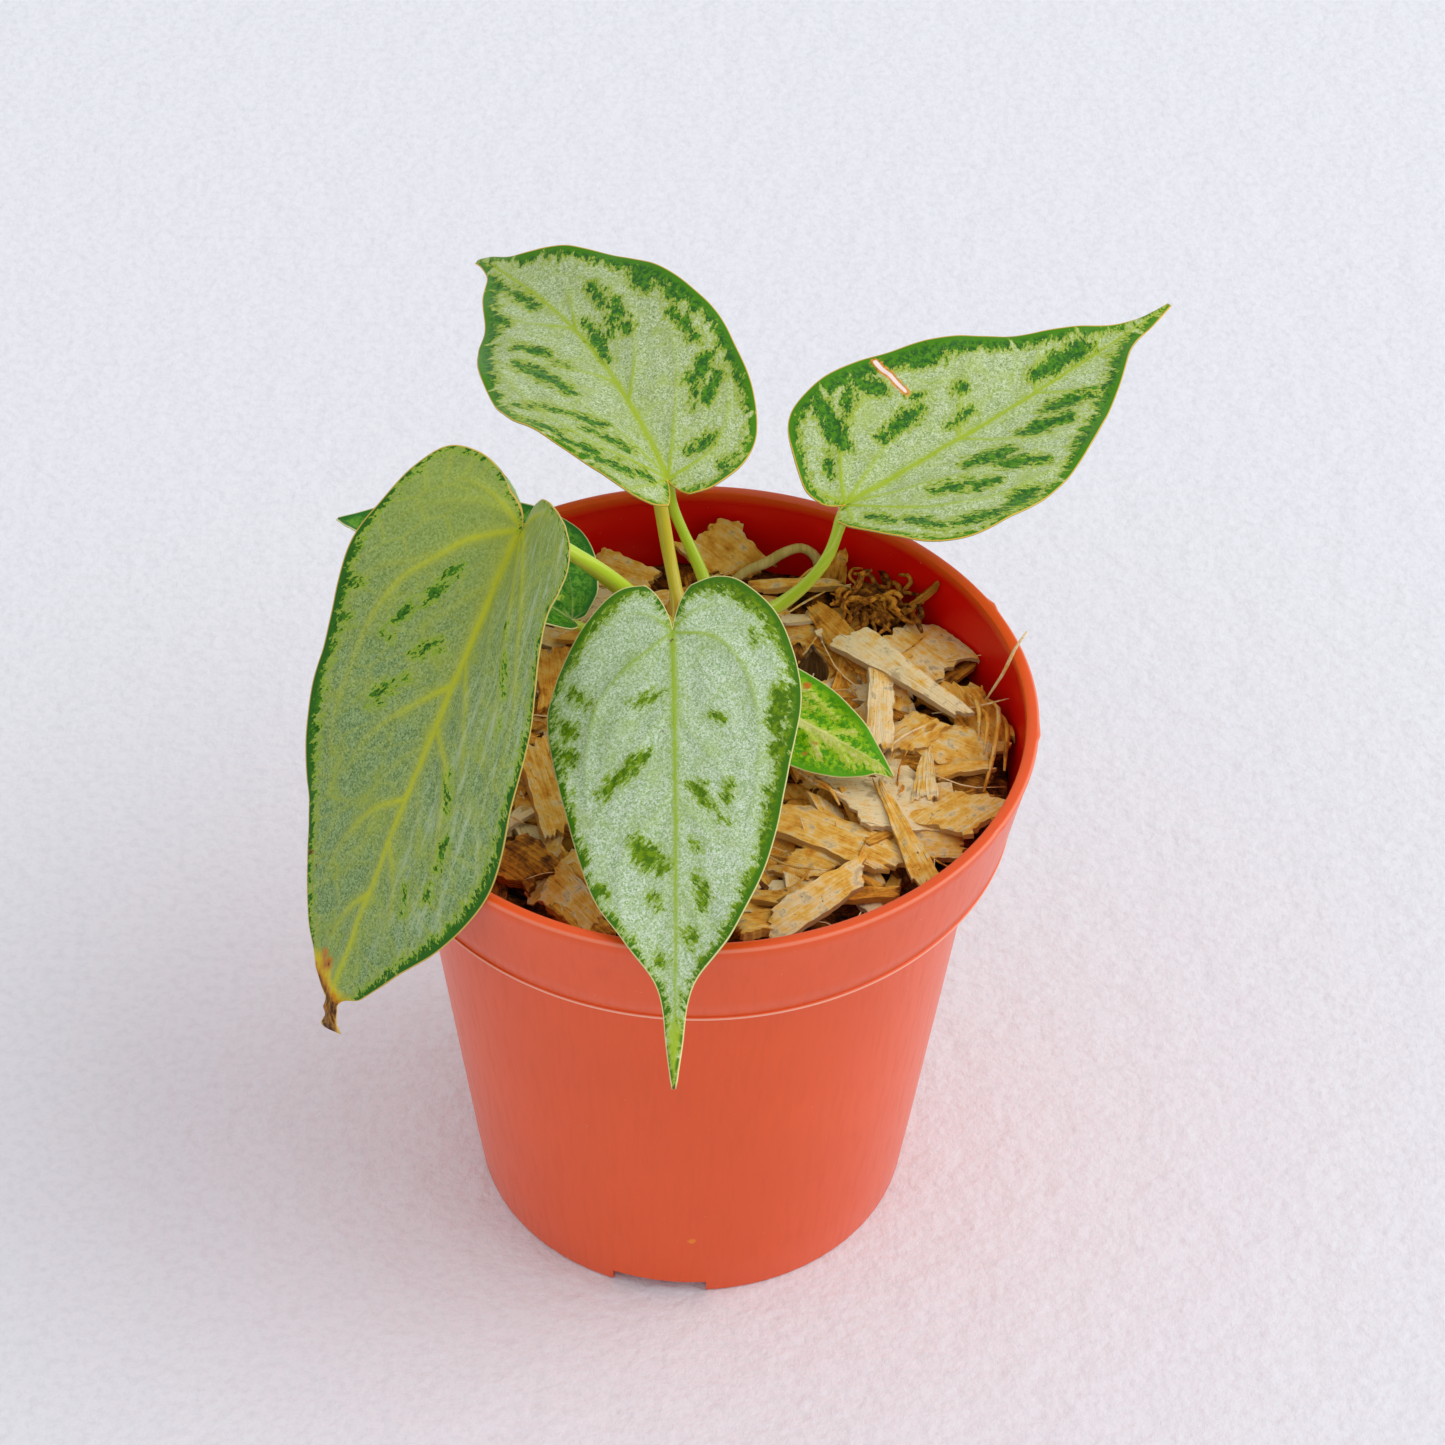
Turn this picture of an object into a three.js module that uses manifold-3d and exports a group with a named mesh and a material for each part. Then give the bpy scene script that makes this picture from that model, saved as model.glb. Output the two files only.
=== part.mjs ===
// Potted silver-leaved anthurium: a plastic nursery pot filled with husk chips, a short crown,
// six heart-shaped leaves on thin stalks, the stub of a cut stalk, a dry scale leaf and a root.
// Millimetres, +Z up. The origin is the middle of the pot's underside and -Y is the front.
// Each leaf is drawn flat as [along, across] outline points, then laid on its arched midrib.

import * as THREE from "three";
import { mergeVertices } from "three/addons/utils/BufferGeometryUtils.js";
import Module from "manifold-3d";

const wasm = await Module();
wasm.setup();

// Pot
const POT_HEIGHT = 112;
const RIM_RADIUS = 60;
const LIP_WIDTH = 2.4;
const LIP_DEPTH = 2.2;
const WALL = 1.2;
const STEP_HEIGHT = 91;
const COLLAR_FOOT_RADIUS = 56;
const SHOULDER_RADIUS = 51.5;
const BASE_RADIUS = 40.5;
const EDGE_ROUND = 0.6;
const FOOT_RING = 1.8;
const DISC_RADIUS = 25;
const CHANNEL_HEIGHT = 3.4;
const CHANNEL_SLOPE = 2.5;
const FLOOR = 1.4;
const POT_SEGMENTS = 56;
const NOTCH = { count: 3, width: 17.5, height: 3, azimuth: -8, below: 1, rings: 4 };
const DRAIN_SLOT = { count: 6, width: 3.6, length: 8, radius: 33 };

// Bed of chips
const FIT_GAP = 0.4;
const BED_CENTRE_HEIGHT = 99.5;
const BED_EDGE_HEIGHT = 97.5;
const BED_TOP_LIMIT = 108;
const SCATTER = {
  count: 50, seed: 41, spread: 52, height: [99, 101.2], halfLength: [6.5, 12], width: [5, 11],
  endShare: [0.55, 0.95], tilt: [-0.17, 0.17], thick: [1.6, 2.8], roll: [-18, 18], skew: [0, 0.3],
};
const GOLDEN_ANGLE = Math.PI * (3 - Math.sqrt(5));
const HOLE = { sides: 16, above: 2 };

// Crown, at the middle of the plant
const CROWN = {
  x: -2.5, y: 24, foot: 88, shoulder: 104.5, radius: 6, holeGap: 0.6, segments: 20, domeSteps: 5,
};

// Blades
const BLADE_THICKNESS = 0.8;
const BLADE_ROWS = 16;
const BLADE_COLUMNS = 5;
const MIDRIB_EVEN_SHARE = 0.12;
const MIDRIB_POWER = 2.2;
const VEIN_BEND = { along: 0.35, across: 0.62 };
const SINUS_BEND = { along: 0.7, across: 0.25 };
const SINUS_REACH = 0.25;
const TIP_HALF_WIDTH = 0.4;
const CURL_LENGTH = 60;
const SLOPE_STEP = 0.01;

// Each outline starts at the inner end of the lobe and ends before the tip.
// Left has across below zero, as seen from the stalk with the upper face up.
const LEAVES = {
  front: {
    base: [-4.6, -2.3, 132], mid: [-2.9, -44.5, 123], tip: [-3, -83, 103.7], length: 86,
    roll: [-8, -6], foldLeft: [10, 8], foldRight: [6, 9], curlLeft: 0.4, curlRight: 0.55,
    wave: 0.5, waves: 3,
    left: [[-8.7, -3.5], [-9.6, -8.5], [-7, -13.4], [1, -19.3], [15.5, -22.2], [30, -19.9],
      [47.5, -15.7], [60.5, -9.6], [69, -3], [79, -1.2]],
    right: [[-9.8, 4.6], [-9.2, 8.6], [-6, 12.8], [0, 17.4], [8.5, 21.2], [15, 22.5], [26, 21.2],
      [49, 15.3], [60, 8.9], [68.5, 3.2], [79, 1.4]],
  },
  left: {
    base: [-30.4, 3, 149.8], mid: [-48, -30.7, 123.5], tip: [-63.8, -52.5, 86], length: 91.5,
    roll: [0, -20], foldLeft: [57, -13], foldRight: [19, -10], curlLeft: 0.75, curlRight: -0.05,
    wave: 0.6, waves: 4,
    left: [[-4.6, -1.5], [-5.1, -5.1], [-4.5, -9.3], [-3.7, -12.5], [-2.2, -17.8], [-0.4, -22.4],
      [2.3, -25.4], [6, -26.4], [9.6, -25.2], [14.2, -23], [22, -23.2], [32.5, -24.2],
      [45, -24.1], [54, -23.6], [62, -21.4], [71, -17], [78, -11.3], [85, -5.6]],
    right: [[-5, 4.5], [-7.5, 7.2], [-9, 12], [-7.8, 17.5], [-2.4, 21.6], [5, 24.2], [14, 26.2],
      [28.5, 25.5], [40, 24.6], [56, 21.1], [75, 13.6], [85, 7.4]],
  },
  back: {
    base: [-6.2, 35.8, 133.4], mid: [-19.4, 79, 136.2], tip: [-44.6, 114, 122.4], length: 88.8,
    roll: [-2, 22], foldLeft: [23, 5], foldRight: [7.5, 17], curlLeft: 0.35, curlRight: 0.2,
    wave: 0.7, waves: 4,
    left: [[-7, -2], [-7.6, -6], [-4, -11], [4.6, -15.6], [14, -20.8], [23.5, -24.4],
      [41.5, -22.3], [54, -17.9], [61.5, -13], [72, -7.9], [81, -2.2]],
    right: [[-4.5, 3], [-4.4, 7], [-2.4, 11.4], [1.7, 15.9], [6.7, 19.2], [15, 21.7], [25, 23],
      [34.5, 24], [42.5, 22.5], [52.5, 19.8], [60, 16], [68, 11.7], [78.5, 4.6]],
  },
  right: {
    base: [25.6, 32.3, 131.2], mid: [59.2, 61.8, 130.5], tip: [87.9, 95.9, 127.7], length: 89.2,
    roll: [-3, -5], foldLeft: [12, 11], foldRight: [15, 10], curlLeft: 0.05, curlRight: 0.2,
    wave: 0.5, waves: 4,
    left: [[-3.6, -2.4], [-4.4, -6], [-2.2, -11], [1, -17], [4.5, -21], [9, -23.2], [16, -24.4],
      [24.7, -24.3], [32, -22.8], [38.7, -21.1], [46, -17.9], [54, -13.5], [65, -8.3],
      [74, -3.6], [81.6, -1.5]],
    right: [[-4.6, 3.4], [-4.4, 7], [-2.2, 12], [2, 18], [6.3, 21.4], [13, 23.6], [21.6, 24],
      [31.7, 22.6], [41.4, 19.3], [52, 14.6], [62.4, 9.3], [73, 3.6], [81.7, 1.7]],
  },
  small_left: {
    base: [-22.8, 19.2, 114.4], mid: [-44.8, 31.8, 119], tip: [-66.4, 44.5, 115.4], length: 51,
    roll: [0, 0], foldLeft: [37, 34], foldRight: [32, 30], curlLeft: 0.2, curlRight: 0.2,
    wave: 0.3, waves: 3,
    left: [[-2.4, -3], [-2.2, -8], [3, -13.6], [10, -16.2], [19, -15.5], [30, -12], [38, -8.2],
      [45, -4.2]],
    right: [[-1.8, 2], [-1.5, 6.1], [-0.5, 8.2], [2.6, 12.6], [6.8, 15.6], [12, 16.2],
      [19, 15.4], [30, 12.3], [38, 8.5], [45, 4.4]],
  },
  small_right: {
    base: [5, 6.8, 111], mid: [20.8, -4.6, 111.4], tip: [33.5, -9.4, 106.4], length: 33.5,
    roll: [-13, -13], foldLeft: [3, 3], foldRight: [3, 3], curlLeft: 0.2, curlRight: 0.2,
    wave: 0.2, waves: 2,
    left: [[-2.8, -2.4], [-3, -5.6], [1, -8.2], [6, -8.9], [10, -8.8], [15.9, -8.1],
      [20.5, -6.8], [25.6, -5], [30.3, -2.3]],
    right: [[-2.8, 2.4], [-3, 5.8], [2, 8.8], [9, 9.5], [18, 8.5], [24.3, 6.8], [29.5, 3.9],
      [31.6, 2.2]],
  },
};

// Each stalk leaves the crown's dome towards its azimuth and rise, in degrees, passes the points
// and ends under the middle of its blade.
const STALKS = {
  front: { azimuth: -92, rise: 62, radius: [1.7, 1.15], via: [[-4.2, 9, 121]] },
  left: { azimuth: 178, rise: 40, radius: [2.1, 1.4], via: [[-13.7, 20.4, 120.8], [-22.9, 12, 137]] },
  back: { azimuth: 50, rise: 42, radius: [1.5, 1], via: [[0.4, 31.6, 114.5], [-4.9, 35.2, 127]] },
  right: { azimuth: 5, rise: 28, radius: [1.6, 1.05], via: [[14.4, 26.4, 112.4], [22.2, 28, 121.4]] },
  small_left: { azimuth: 210, rise: 14, radius: [1.3, 0.9], via: [[-16.5, 20.6, 109]] },
  small_right: { azimuth: -60, rise: 24, radius: [1.1, 0.8], via: [[3.6, 11.6, 109.2]] },
};
const STALK_SIDES = 8;
const STALK_STEPS = 14;
const STALK_GAP = 0.4;
const STALK_LEAD = 3;
const STALK_TAPER_SHARE = 0.62;
const KNEE = { share: 0.93, reach: 0.05, swell: 0.12 };
const BLADE_SEAT = { row: 0.02, gap: 0.35 };

const OLD_STALK = {
  azimuth: 112, rise: 62, via: [[-5.6, 31.5, 119]], end: [-7.4, 34, 130],
  radius: [2.1, 1.25], sheathShare: 0.25,
};
const SCALE_LEAF = {
  foot: [20.4, 19, 95], length: 13.4, width: 6, thickness: 0.9, lean: 2, azimuth: 12, cup: 1.4,
  footRadius: 1.3, footShare: 0.42, tipHalfWidth: 0.4, shares: [0, 0.2, 0.42, 0.6, 0.76, 0.9, 1],
  swellFrom: 0.3, swellReach: 0.72, swellPower: 0.8, holeRadius: 2.4, clearance: 0.5,
};
const ROOT = {
  points: [[4.4, 43.2, 95], [4.8, 43.8, 100], [8.1, 45.8, 102.8], [12.3, 47.4, 104],
    [15.6, 49, 105.2], [18.7, 50, 105.4], [21.2, 49.8, 103.6], [22.2, 48.8, 100.5],
    [22.4, 48.4, 95]],
  radius: 0.9, clearance: 0.5, steps: 18, sides: 6,
};

// The larger chips: start, end, width at both ends, thickness, roll in degrees
const NAMED_CHIPS = [
  { from: [26, 27.5, 105], to: [48, 7, 104], width: [7.5, 3], thick: 2.2, roll: 8 },
  { from: [21, 36, 103], to: [32, 20, 102], width: [4, 5.5], thick: 2.2, roll: 24 },
  { from: [33, 21, 103.4], to: [32, 0, 102.6], width: [5, 5], thick: 2.4, roll: -12 },
  { from: [38, 31, 101.6], to: [47, 21, 101.2], width: [15, 13], thick: 1.8, roll: -6 },
  { from: [46, 17, 101.4], to: [53, 3, 101], width: [9, 9], thick: 1.8, roll: 8 },
  { from: [35, 1, 101.4], to: [42, 8, 102], width: [9, 8], thick: 1.8, roll: -8 },
  { from: [41, 3.5, 101.6], to: [52, -1, 101], width: [9, 9], thick: 1.8, roll: 8 },
  { from: [42, -6, 101.6], to: [52, -4, 102], width: [2.6, 2.6], thick: 1.6, roll: 0 },
  { from: [26, -13, 101.4], to: [42, -14, 101], width: [14, 13], thick: 1.8, roll: -4 },
  { from: [32, -23, 100.6], to: [47, -23, 100.4], width: [7, 6], thick: 1.8, roll: 6 },
  { from: [32, -10, 103.4], to: [40, -34, 103], width: [1.4, 5], thick: 1.6, roll: 4 },
  { from: [40.5, -2, 103.2], to: [40, -13, 102.4], width: [2, 5], thick: 1.6, roll: 10 },
  { from: [42, -20, 102.6], to: [51, -12, 102.4], width: [11, 11], thick: 1.8, roll: -10 },
  { from: [14, -17, 102.2], to: [36, -29, 101.4], width: [10, 8], thick: 2, roll: -8 },
  { from: [16, -27, 101.4], to: [23, -30, 101], width: [7, 7], thick: 2, roll: 10 },
  { from: [13, -46, 103.2], to: [29, -32, 103.6], width: [6.5, 5], thick: 2.4, roll: 10 },
  { from: [24, -36.5, 101.4], to: [35, -35, 101.4], width: [2.6, 2.6], thick: 1.8, roll: 0 },
  { from: [7, -46, 103], to: [14, -43, 102], width: [6, 6], thick: 2.4, roll: -14 },
  { from: [0, 53, 106], to: [10, 47.5, 101], width: [13, 8], thick: 1.8, roll: 16 },
  { from: [24.5, 46, 100.5], to: [25.5, 48.5, 106.5], width: [5, 3], thick: 1.6, roll: 20 },
  { from: [10, 41.5, 103], to: [26, 42.5, 103], width: [2.4, 2.4], thick: 1.8, roll: 0 },
  { from: [38, 38, 101], to: [42, 37, 106.5], width: [8, 6], thick: 1.8, roll: -20 },
  { from: [29, 41, 102.6], to: [36, 34, 103], width: [5, 5], thick: 2.6, roll: 18 },
  { from: [-20, 47.5, 102], to: [-9, 43, 102], width: [8, 7], thick: 2, roll: 10 },
  { from: [-30, -1, 102.6], to: [-24, -22, 102], width: [7, 6], thick: 2, roll: -14 },
  { from: [-34, -26, 101.6], to: [-26, -33, 102], width: [9, 8], thick: 3.2, roll: 12 },
  { from: [-25, -34, 102.2], to: [-17, -45, 102.2], width: [8, 6], thick: 2, roll: 16 },
  { from: [-27, 24, 102], to: [-25, 10, 102], width: [8, 7], thick: 2, roll: -8 },
  { from: [-23, -39, 101.6], to: [-16, -47, 101.6], width: [5, 5], thick: 2, roll: 0 },
];
const CHIP_BOW = 0.5;
const CHIP_SKEW = 0.12;

const COLOURS = {
  pot: { color: 0xd9583a, roughness: 0.35, metalness: 0 },
  chips: { color: 0xb98a4a, roughness: 0.85, metalness: 0 },
  crown: { color: 0x8a6a52, roughness: 0.7, metalness: 0 },
  stalk: { color: 0x8faf2e, roughness: 0.45, metalness: 0 },
  silverBlade: { color: 0x9fb79a, roughness: 0.45, metalness: 0 },
  greenBlade: { color: 0x3f7d22, roughness: 0.35, metalness: 0 },
  oldStalk: { color: 0xc2b340, roughness: 0.55, metalness: 0 },
  dryScale: { color: 0x6e5326, roughness: 0.75, metalness: 0 },
  root: { color: 0xc7b27a, roughness: 0.75, metalness: 0 },
};

const WELD_DISTANCE = 1e-5;
const radians = THREE.MathUtils.degToRad;
const mix = THREE.MathUtils.lerp;

// Seeded random numbers from 0 to 1
function randomFrom(seed) {
  let state = seed >>> 0;
  return () => {
    state = (Math.imul(state, 1664525) + 1013904223) >>> 0;
    return state / 4294967296;
  };
}

function bareCopy(geometry) {
  const copy = geometry.clone();
  copy.deleteAttribute("normal");
  copy.deleteAttribute("uv");
  return mergeVertices(copy, WELD_DISTANCE);
}

function toSolid(geometry) {
  const bare = bareCopy(geometry);
  return new wasm.Manifold(new wasm.Mesh({
    numProp: 3,
    vertProperties: new Float32Array(bare.attributes.position.array),
    triVerts: new Uint32Array(bare.index.array),
  }));
}

function toGeometry(solid) {
  const { vertProperties, triVerts } = solid.getMesh();
  const geometry = new THREE.BufferGeometry();
  geometry.setAttribute("position", new THREE.BufferAttribute(new Float32Array(vertProperties), 3));
  geometry.setIndex(new THREE.BufferAttribute(new Uint32Array(triVerts), 1));
  return geometry;
}

// The largest closed body, so that loose scraps are dropped
function mainBody(solid) {
  return solid.decompose().reduce((best, piece) => (piece.volume() > best.volume() ? piece : best));
}

// A turned shape from [radius, height] points, closed on itself or on the axis
function turned(profile, segments) {
  const points = profile.map(([r, z]) => new THREE.Vector2(r, z));
  return new THREE.LatheGeometry(points, segments).rotateX(Math.PI / 2);
}

// Closed body from rings of vertices that all have the same number of points, with flat ends
function loft(rings) {
  const sides = rings[0].length;
  const positions = rings.flat().flatMap((p) => p.toArray());
  const index = [];
  for (let i = 0; i + 1 < rings.length; i++) {
    for (let j = 0; j < sides; j++) {
      const k = (j + 1) % sides;
      const [a, b] = [i * sides + j, i * sides + k];
      index.push(a, b, b + sides, a, b + sides, a + sides);
    }
  }
  const last = (rings.length - 1) * sides;
  for (let j = 1; j + 1 < sides; j++) {
    index.push(0, j + 1, j);
    index.push(last, last + j, last + j + 1);
  }
  const geometry = new THREE.BufferGeometry();
  geometry.setAttribute("position", new THREE.Float32BufferAttribute(positions, 3));
  geometry.setIndex(index);
  return geometry;
}

// A round tube along a curve, its radius a function of the share of the length
function tube(curve, radiusAt, steps, sides) {
  const frames = curve.computeFrenetFrames(steps, false);
  const rings = [];
  for (let i = 0; i <= steps; i++) {
    const share = i / steps;
    const centre = curve.getPointAt(share);
    const ring = [];
    for (let j = 0; j < sides; j++) {
      const angle = (j / sides) * 2 * Math.PI;
      const offset = frames.normals[i].clone().multiplyScalar(Math.cos(angle));
      offset.addScaledVector(frames.binormals[i], Math.sin(angle));
      ring.push(centre.clone().addScaledVector(offset, radiusAt(share)));
    }
    rings.push(ring);
  }
  return loft(rings);
}

function vector(values) {
  return new THREE.Vector3(...values);
}

// Pot

function collarRadius(height) {
  const share = (height - STEP_HEIGHT) / (POT_HEIGHT - STEP_HEIGHT);
  return mix(COLLAR_FOOT_RADIUS, RIM_RADIUS, share);
}

function bodyRadius(height) {
  return mix(BASE_RADIUS, SHOULDER_RADIUS, height / STEP_HEIGHT);
}

function potProfile() {
  const lipFoot = POT_HEIGHT - LIP_DEPTH;
  const ledge = STEP_HEIGHT + WALL;
  const floorTop = CHANNEL_HEIGHT + FLOOR;
  return [
    [0, 0],
    [DISC_RADIUS, 0],
    [DISC_RADIUS + CHANNEL_SLOPE, CHANNEL_HEIGHT],
    [BASE_RADIUS - FOOT_RING, CHANNEL_HEIGHT],
    [BASE_RADIUS - FOOT_RING, 0],
    [BASE_RADIUS - EDGE_ROUND, 0],
    [bodyRadius(EDGE_ROUND), EDGE_ROUND],
    [SHOULDER_RADIUS, STEP_HEIGHT],
    [COLLAR_FOOT_RADIUS - EDGE_ROUND, STEP_HEIGHT],
    [COLLAR_FOOT_RADIUS, STEP_HEIGHT + EDGE_ROUND],
    [RIM_RADIUS, POT_HEIGHT - EDGE_ROUND],
    [RIM_RADIUS - EDGE_ROUND, POT_HEIGHT],
    [RIM_RADIUS - LIP_WIDTH, POT_HEIGHT],
    [RIM_RADIUS - LIP_WIDTH, lipFoot],
    [collarRadius(lipFoot - EDGE_ROUND) - WALL, lipFoot - EDGE_ROUND],
    [collarRadius(ledge) - WALL, ledge],
    [SHOULDER_RADIUS - WALL, ledge],
    [bodyRadius(floorTop) - WALL, floorTop],
    [DISC_RADIUS, floorTop],
    [DISC_RADIUS - CHANNEL_SLOPE, FLOOR],
    [0, FLOOR],
  ];
}

function cutBox(width, length, height, azimuth, radius, bottom) {
  const box = new THREE.BoxGeometry(length, width, height);
  box.translate(radius, 0, bottom + height / 2);
  return toSolid(box.rotateZ(azimuth));
}

function potGeometry() {
  let pot = toSolid(turned(potProfile(), POT_SEGMENTS));
  const cutDepth = NOTCH.rings * FOOT_RING;
  for (let i = 0; i < NOTCH.count; i++) {
    const azimuth = radians(NOTCH.azimuth - 90) + (i / NOTCH.count) * 2 * Math.PI;
    const height = NOTCH.height + NOTCH.below;
    pot = pot.subtract(
      cutBox(NOTCH.width, cutDepth, height, azimuth, BASE_RADIUS, -NOTCH.below),
    );
  }
  for (let i = 0; i < DRAIN_SLOT.count; i++) {
    const azimuth = ((i + 0.5) / DRAIN_SLOT.count) * 2 * Math.PI;
    const { width, length, radius } = DRAIN_SLOT;
    const bottom = CHANNEL_HEIGHT - FLOOR;
    pot = pot.subtract(cutBox(width, length, CHANNEL_HEIGHT, azimuth, radius, bottom));
  }
  return toGeometry(pot);
}

// Bed of chips

function bedProfile(topCentre, topEdge) {
  const ledge = STEP_HEIGHT + WALL + FIT_GAP;
  const floorTop = CHANNEL_HEIGHT + FLOOR + FIT_GAP;
  return [
    [0, FLOOR + FIT_GAP],
    [DISC_RADIUS - CHANNEL_SLOPE - FIT_GAP, FLOOR + FIT_GAP],
    [DISC_RADIUS - FIT_GAP, floorTop],
    [bodyRadius(floorTop) - WALL - FIT_GAP, floorTop],
    [SHOULDER_RADIUS - WALL - FIT_GAP, ledge],
    [collarRadius(ledge) - WALL - FIT_GAP, ledge],
    [collarRadius(topEdge) - WALL - FIT_GAP, topEdge],
    [0, topCentre],
  ];
}

// A split flake of husk, rolled about its length and bowed up in the middle where bow isn't zero
function chip({ from, to, width, thick, roll, bow = CHIP_BOW, skew = CHIP_SKEW }) {
  const start = vector(from);
  const end = vector(to);
  const run = end.clone().sub(start);
  const length = run.length();
  const along = run.normalize();
  const level = new THREE.Vector3(0, 0, 1).cross(along).normalize();
  const side = level.applyAxisAngle(along, radians(roll));
  const up = along.clone().cross(side);
  const shares = bow === 0 ? [0, 1] : [0, 0.5, 1];
  const rings = shares.map((share) => {
    const halfWidth = mix(width[0], width[1], share) / 2;
    const lift = share === 0.5 ? bow : 0;
    const pull = skew * width[0] * (2 * share - 1);
    const centre = start.clone().addScaledVector(along, share * length).addScaledVector(up, lift);
    const corners = [[-1, -1], [1, -1], [1, 1], [-1, 1]];
    return corners.map(([s, u]) => centre.clone()
      .addScaledVector(side, s * halfWidth)
      .addScaledVector(up, (u * thick) / 2)
      .addScaledVector(along, s * pull));
  });
  return toSolid(loft(rings));
}

// Seeded chips on a sunflower spiral, so that they cover the bed evenly
function scatteredChips() {
  const random = randomFrom(SCATTER.seed);
  const between = ([low, high]) => mix(low, high, random());
  const chips = [];
  for (let i = 0; i < SCATTER.count; i++) {
    const radius = SCATTER.spread * Math.sqrt((i + 0.5) / SCATTER.count);
    const angle = i * GOLDEN_ANGLE;
    const heading = random() * 2 * Math.PI;
    const halfLength = between(SCATTER.halfLength);
    const width = between(SCATTER.width);
    const tilt = between(SCATTER.tilt);
    const height = between(SCATTER.height);
    const centre = vector([radius * Math.cos(angle), radius * Math.sin(angle), height]);
    const along = vector([Math.cos(heading), Math.sin(heading), tilt]).multiplyScalar(halfLength);
    chips.push(chip({
      from: centre.clone().sub(along).toArray(),
      to: centre.clone().add(along).toArray(),
      width: [width, width * between(SCATTER.endShare)],
      thick: between(SCATTER.thick),
      roll: between(SCATTER.roll),
      bow: 0,
      skew: between(SCATTER.skew),
    }));
  }
  return chips;
}

// A plain round hole down to the foot of what stands in it
function hole([x, y, foot], radius) {
  const depth = BED_TOP_LIMIT + HOLE.above - foot;
  const cylinder = new THREE.CylinderGeometry(radius, radius, depth, HOLE.sides);
  cylinder.rotateX(Math.PI / 2);
  return toSolid(cylinder.translate(x, y, foot + depth / 2 - FIT_GAP));
}

function fillGeometry() {
  const core = toSolid(turned(bedProfile(BED_CENTRE_HEIGHT, BED_EDGE_HEIGHT), POT_SEGMENTS));
  const room = toSolid(turned(bedProfile(BED_TOP_LIMIT, BED_TOP_LIMIT), POT_SEGMENTS));
  const chips = [...NAMED_CHIPS.map(chip), ...scatteredChips()];
  const heap = wasm.Manifold.union([core, ...chips]).intersect(room);
  const holes = wasm.Manifold.union([
    hole([CROWN.x, CROWN.y, CROWN.foot], CROWN.radius + CROWN.holeGap),
    hole(SCALE_LEAF.foot, SCALE_LEAF.holeRadius),
    toSolid(scaleLeafGeometry(SCALE_LEAF.clearance)),
    toSolid(rootTube(ROOT.clearance)),
  ]);
  return toGeometry(mainBody(heap.subtract(holes)));
}

// Crown and stalks

function crownGeometry() {
  const { x, y, foot, shoulder, radius, segments, domeSteps } = CROWN;
  const profile = [[0, foot], [radius, foot], [radius, shoulder]];
  for (let i = 1; i < domeSteps; i++) {
    const angle = (i / domeSteps) * (Math.PI / 2);
    profile.push([radius * Math.cos(angle), shoulder + radius * Math.sin(angle)]);
  }
  profile.push([0, shoulder + radius]);
  return turned(profile, segments).translate(x, y, 0);
}

function domeDirection(azimuth, rise) {
  const level = Math.cos(radians(rise));
  return vector([
    level * Math.cos(radians(azimuth)),
    level * Math.sin(radians(azimuth)),
    Math.sin(radians(rise)),
  ]);
}

// A curve that starts just off the dome, leaves it squarely and passes the given points
function stalkCurve(azimuth, rise, points) {
  const direction = domeDirection(azimuth, rise);
  const centre = vector([CROWN.x, CROWN.y, CROWN.shoulder]);
  const starts = [STALK_GAP, STALK_LEAD].map((beyond) => (
    centre.clone().addScaledVector(direction, CROWN.radius + beyond)));
  return new THREE.CatmullRomCurve3([...starts, ...points], false, "centripetal");
}

// Thick at the sheath, slender above it, with a slight knee below the blade
function stalkRadius([thick, thin]) {
  return (share) => {
    const plain = mix(thick, thin, Math.min(1, share / STALK_TAPER_SHARE));
    const knee = Math.exp(-(((share - KNEE.share) / KNEE.reach) ** 2));
    return plain * (1 + KNEE.swell * knee);
  };
}

// The stalk's end lies a small gap below the blade, whichever way it arrives
function stalkSeat(name, last, endRadius) {
  const surface = bladeSurface(LEAVES[name]);
  const seat = surface.point(BLADE_SEAT.row, 0);
  const normal = surface.normal(BLADE_SEAT.row, 0);
  const arrival = seat.clone().sub(last).normalize();
  const spread = endRadius * Math.sqrt(1 - arrival.dot(normal) ** 2);
  return seat.addScaledVector(normal, -(BLADE_THICKNESS / 2 + BLADE_SEAT.gap + spread));
}

function stalkGeometry(name) {
  const { azimuth, rise, radius, via } = STALKS[name];
  const passed = via.map(vector);
  const seat = stalkSeat(name, passed[passed.length - 1], radius[1]);
  const curve = stalkCurve(azimuth, rise, [...passed, seat]);
  return tube(curve, stalkRadius(radius), STALK_STEPS, STALK_SIDES);
}

function oldStalkGeometry() {
  const { azimuth, rise, via, end, radius, sheathShare } = OLD_STALK;
  const curve = stalkCurve(azimuth, rise, [...via, end].map(vector));
  const sheath = (share) => mix(radius[0], radius[1], Math.min(1, share / sheathShare));
  return tube(curve, sheath, STALK_STEPS, STALK_SIDES);
}

// The root's own tube, or the channel that it needs, reaching past its feet
function rootTube(extra) {
  const points = ROOT.points.map(vector);
  points[0].z -= extra;
  points[points.length - 1].z -= extra;
  const curve = new THREE.CatmullRomCurve3(points, false, "centripetal");
  return tube(curve, () => ROOT.radius + extra, ROOT.steps, ROOT.sides);
}

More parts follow.
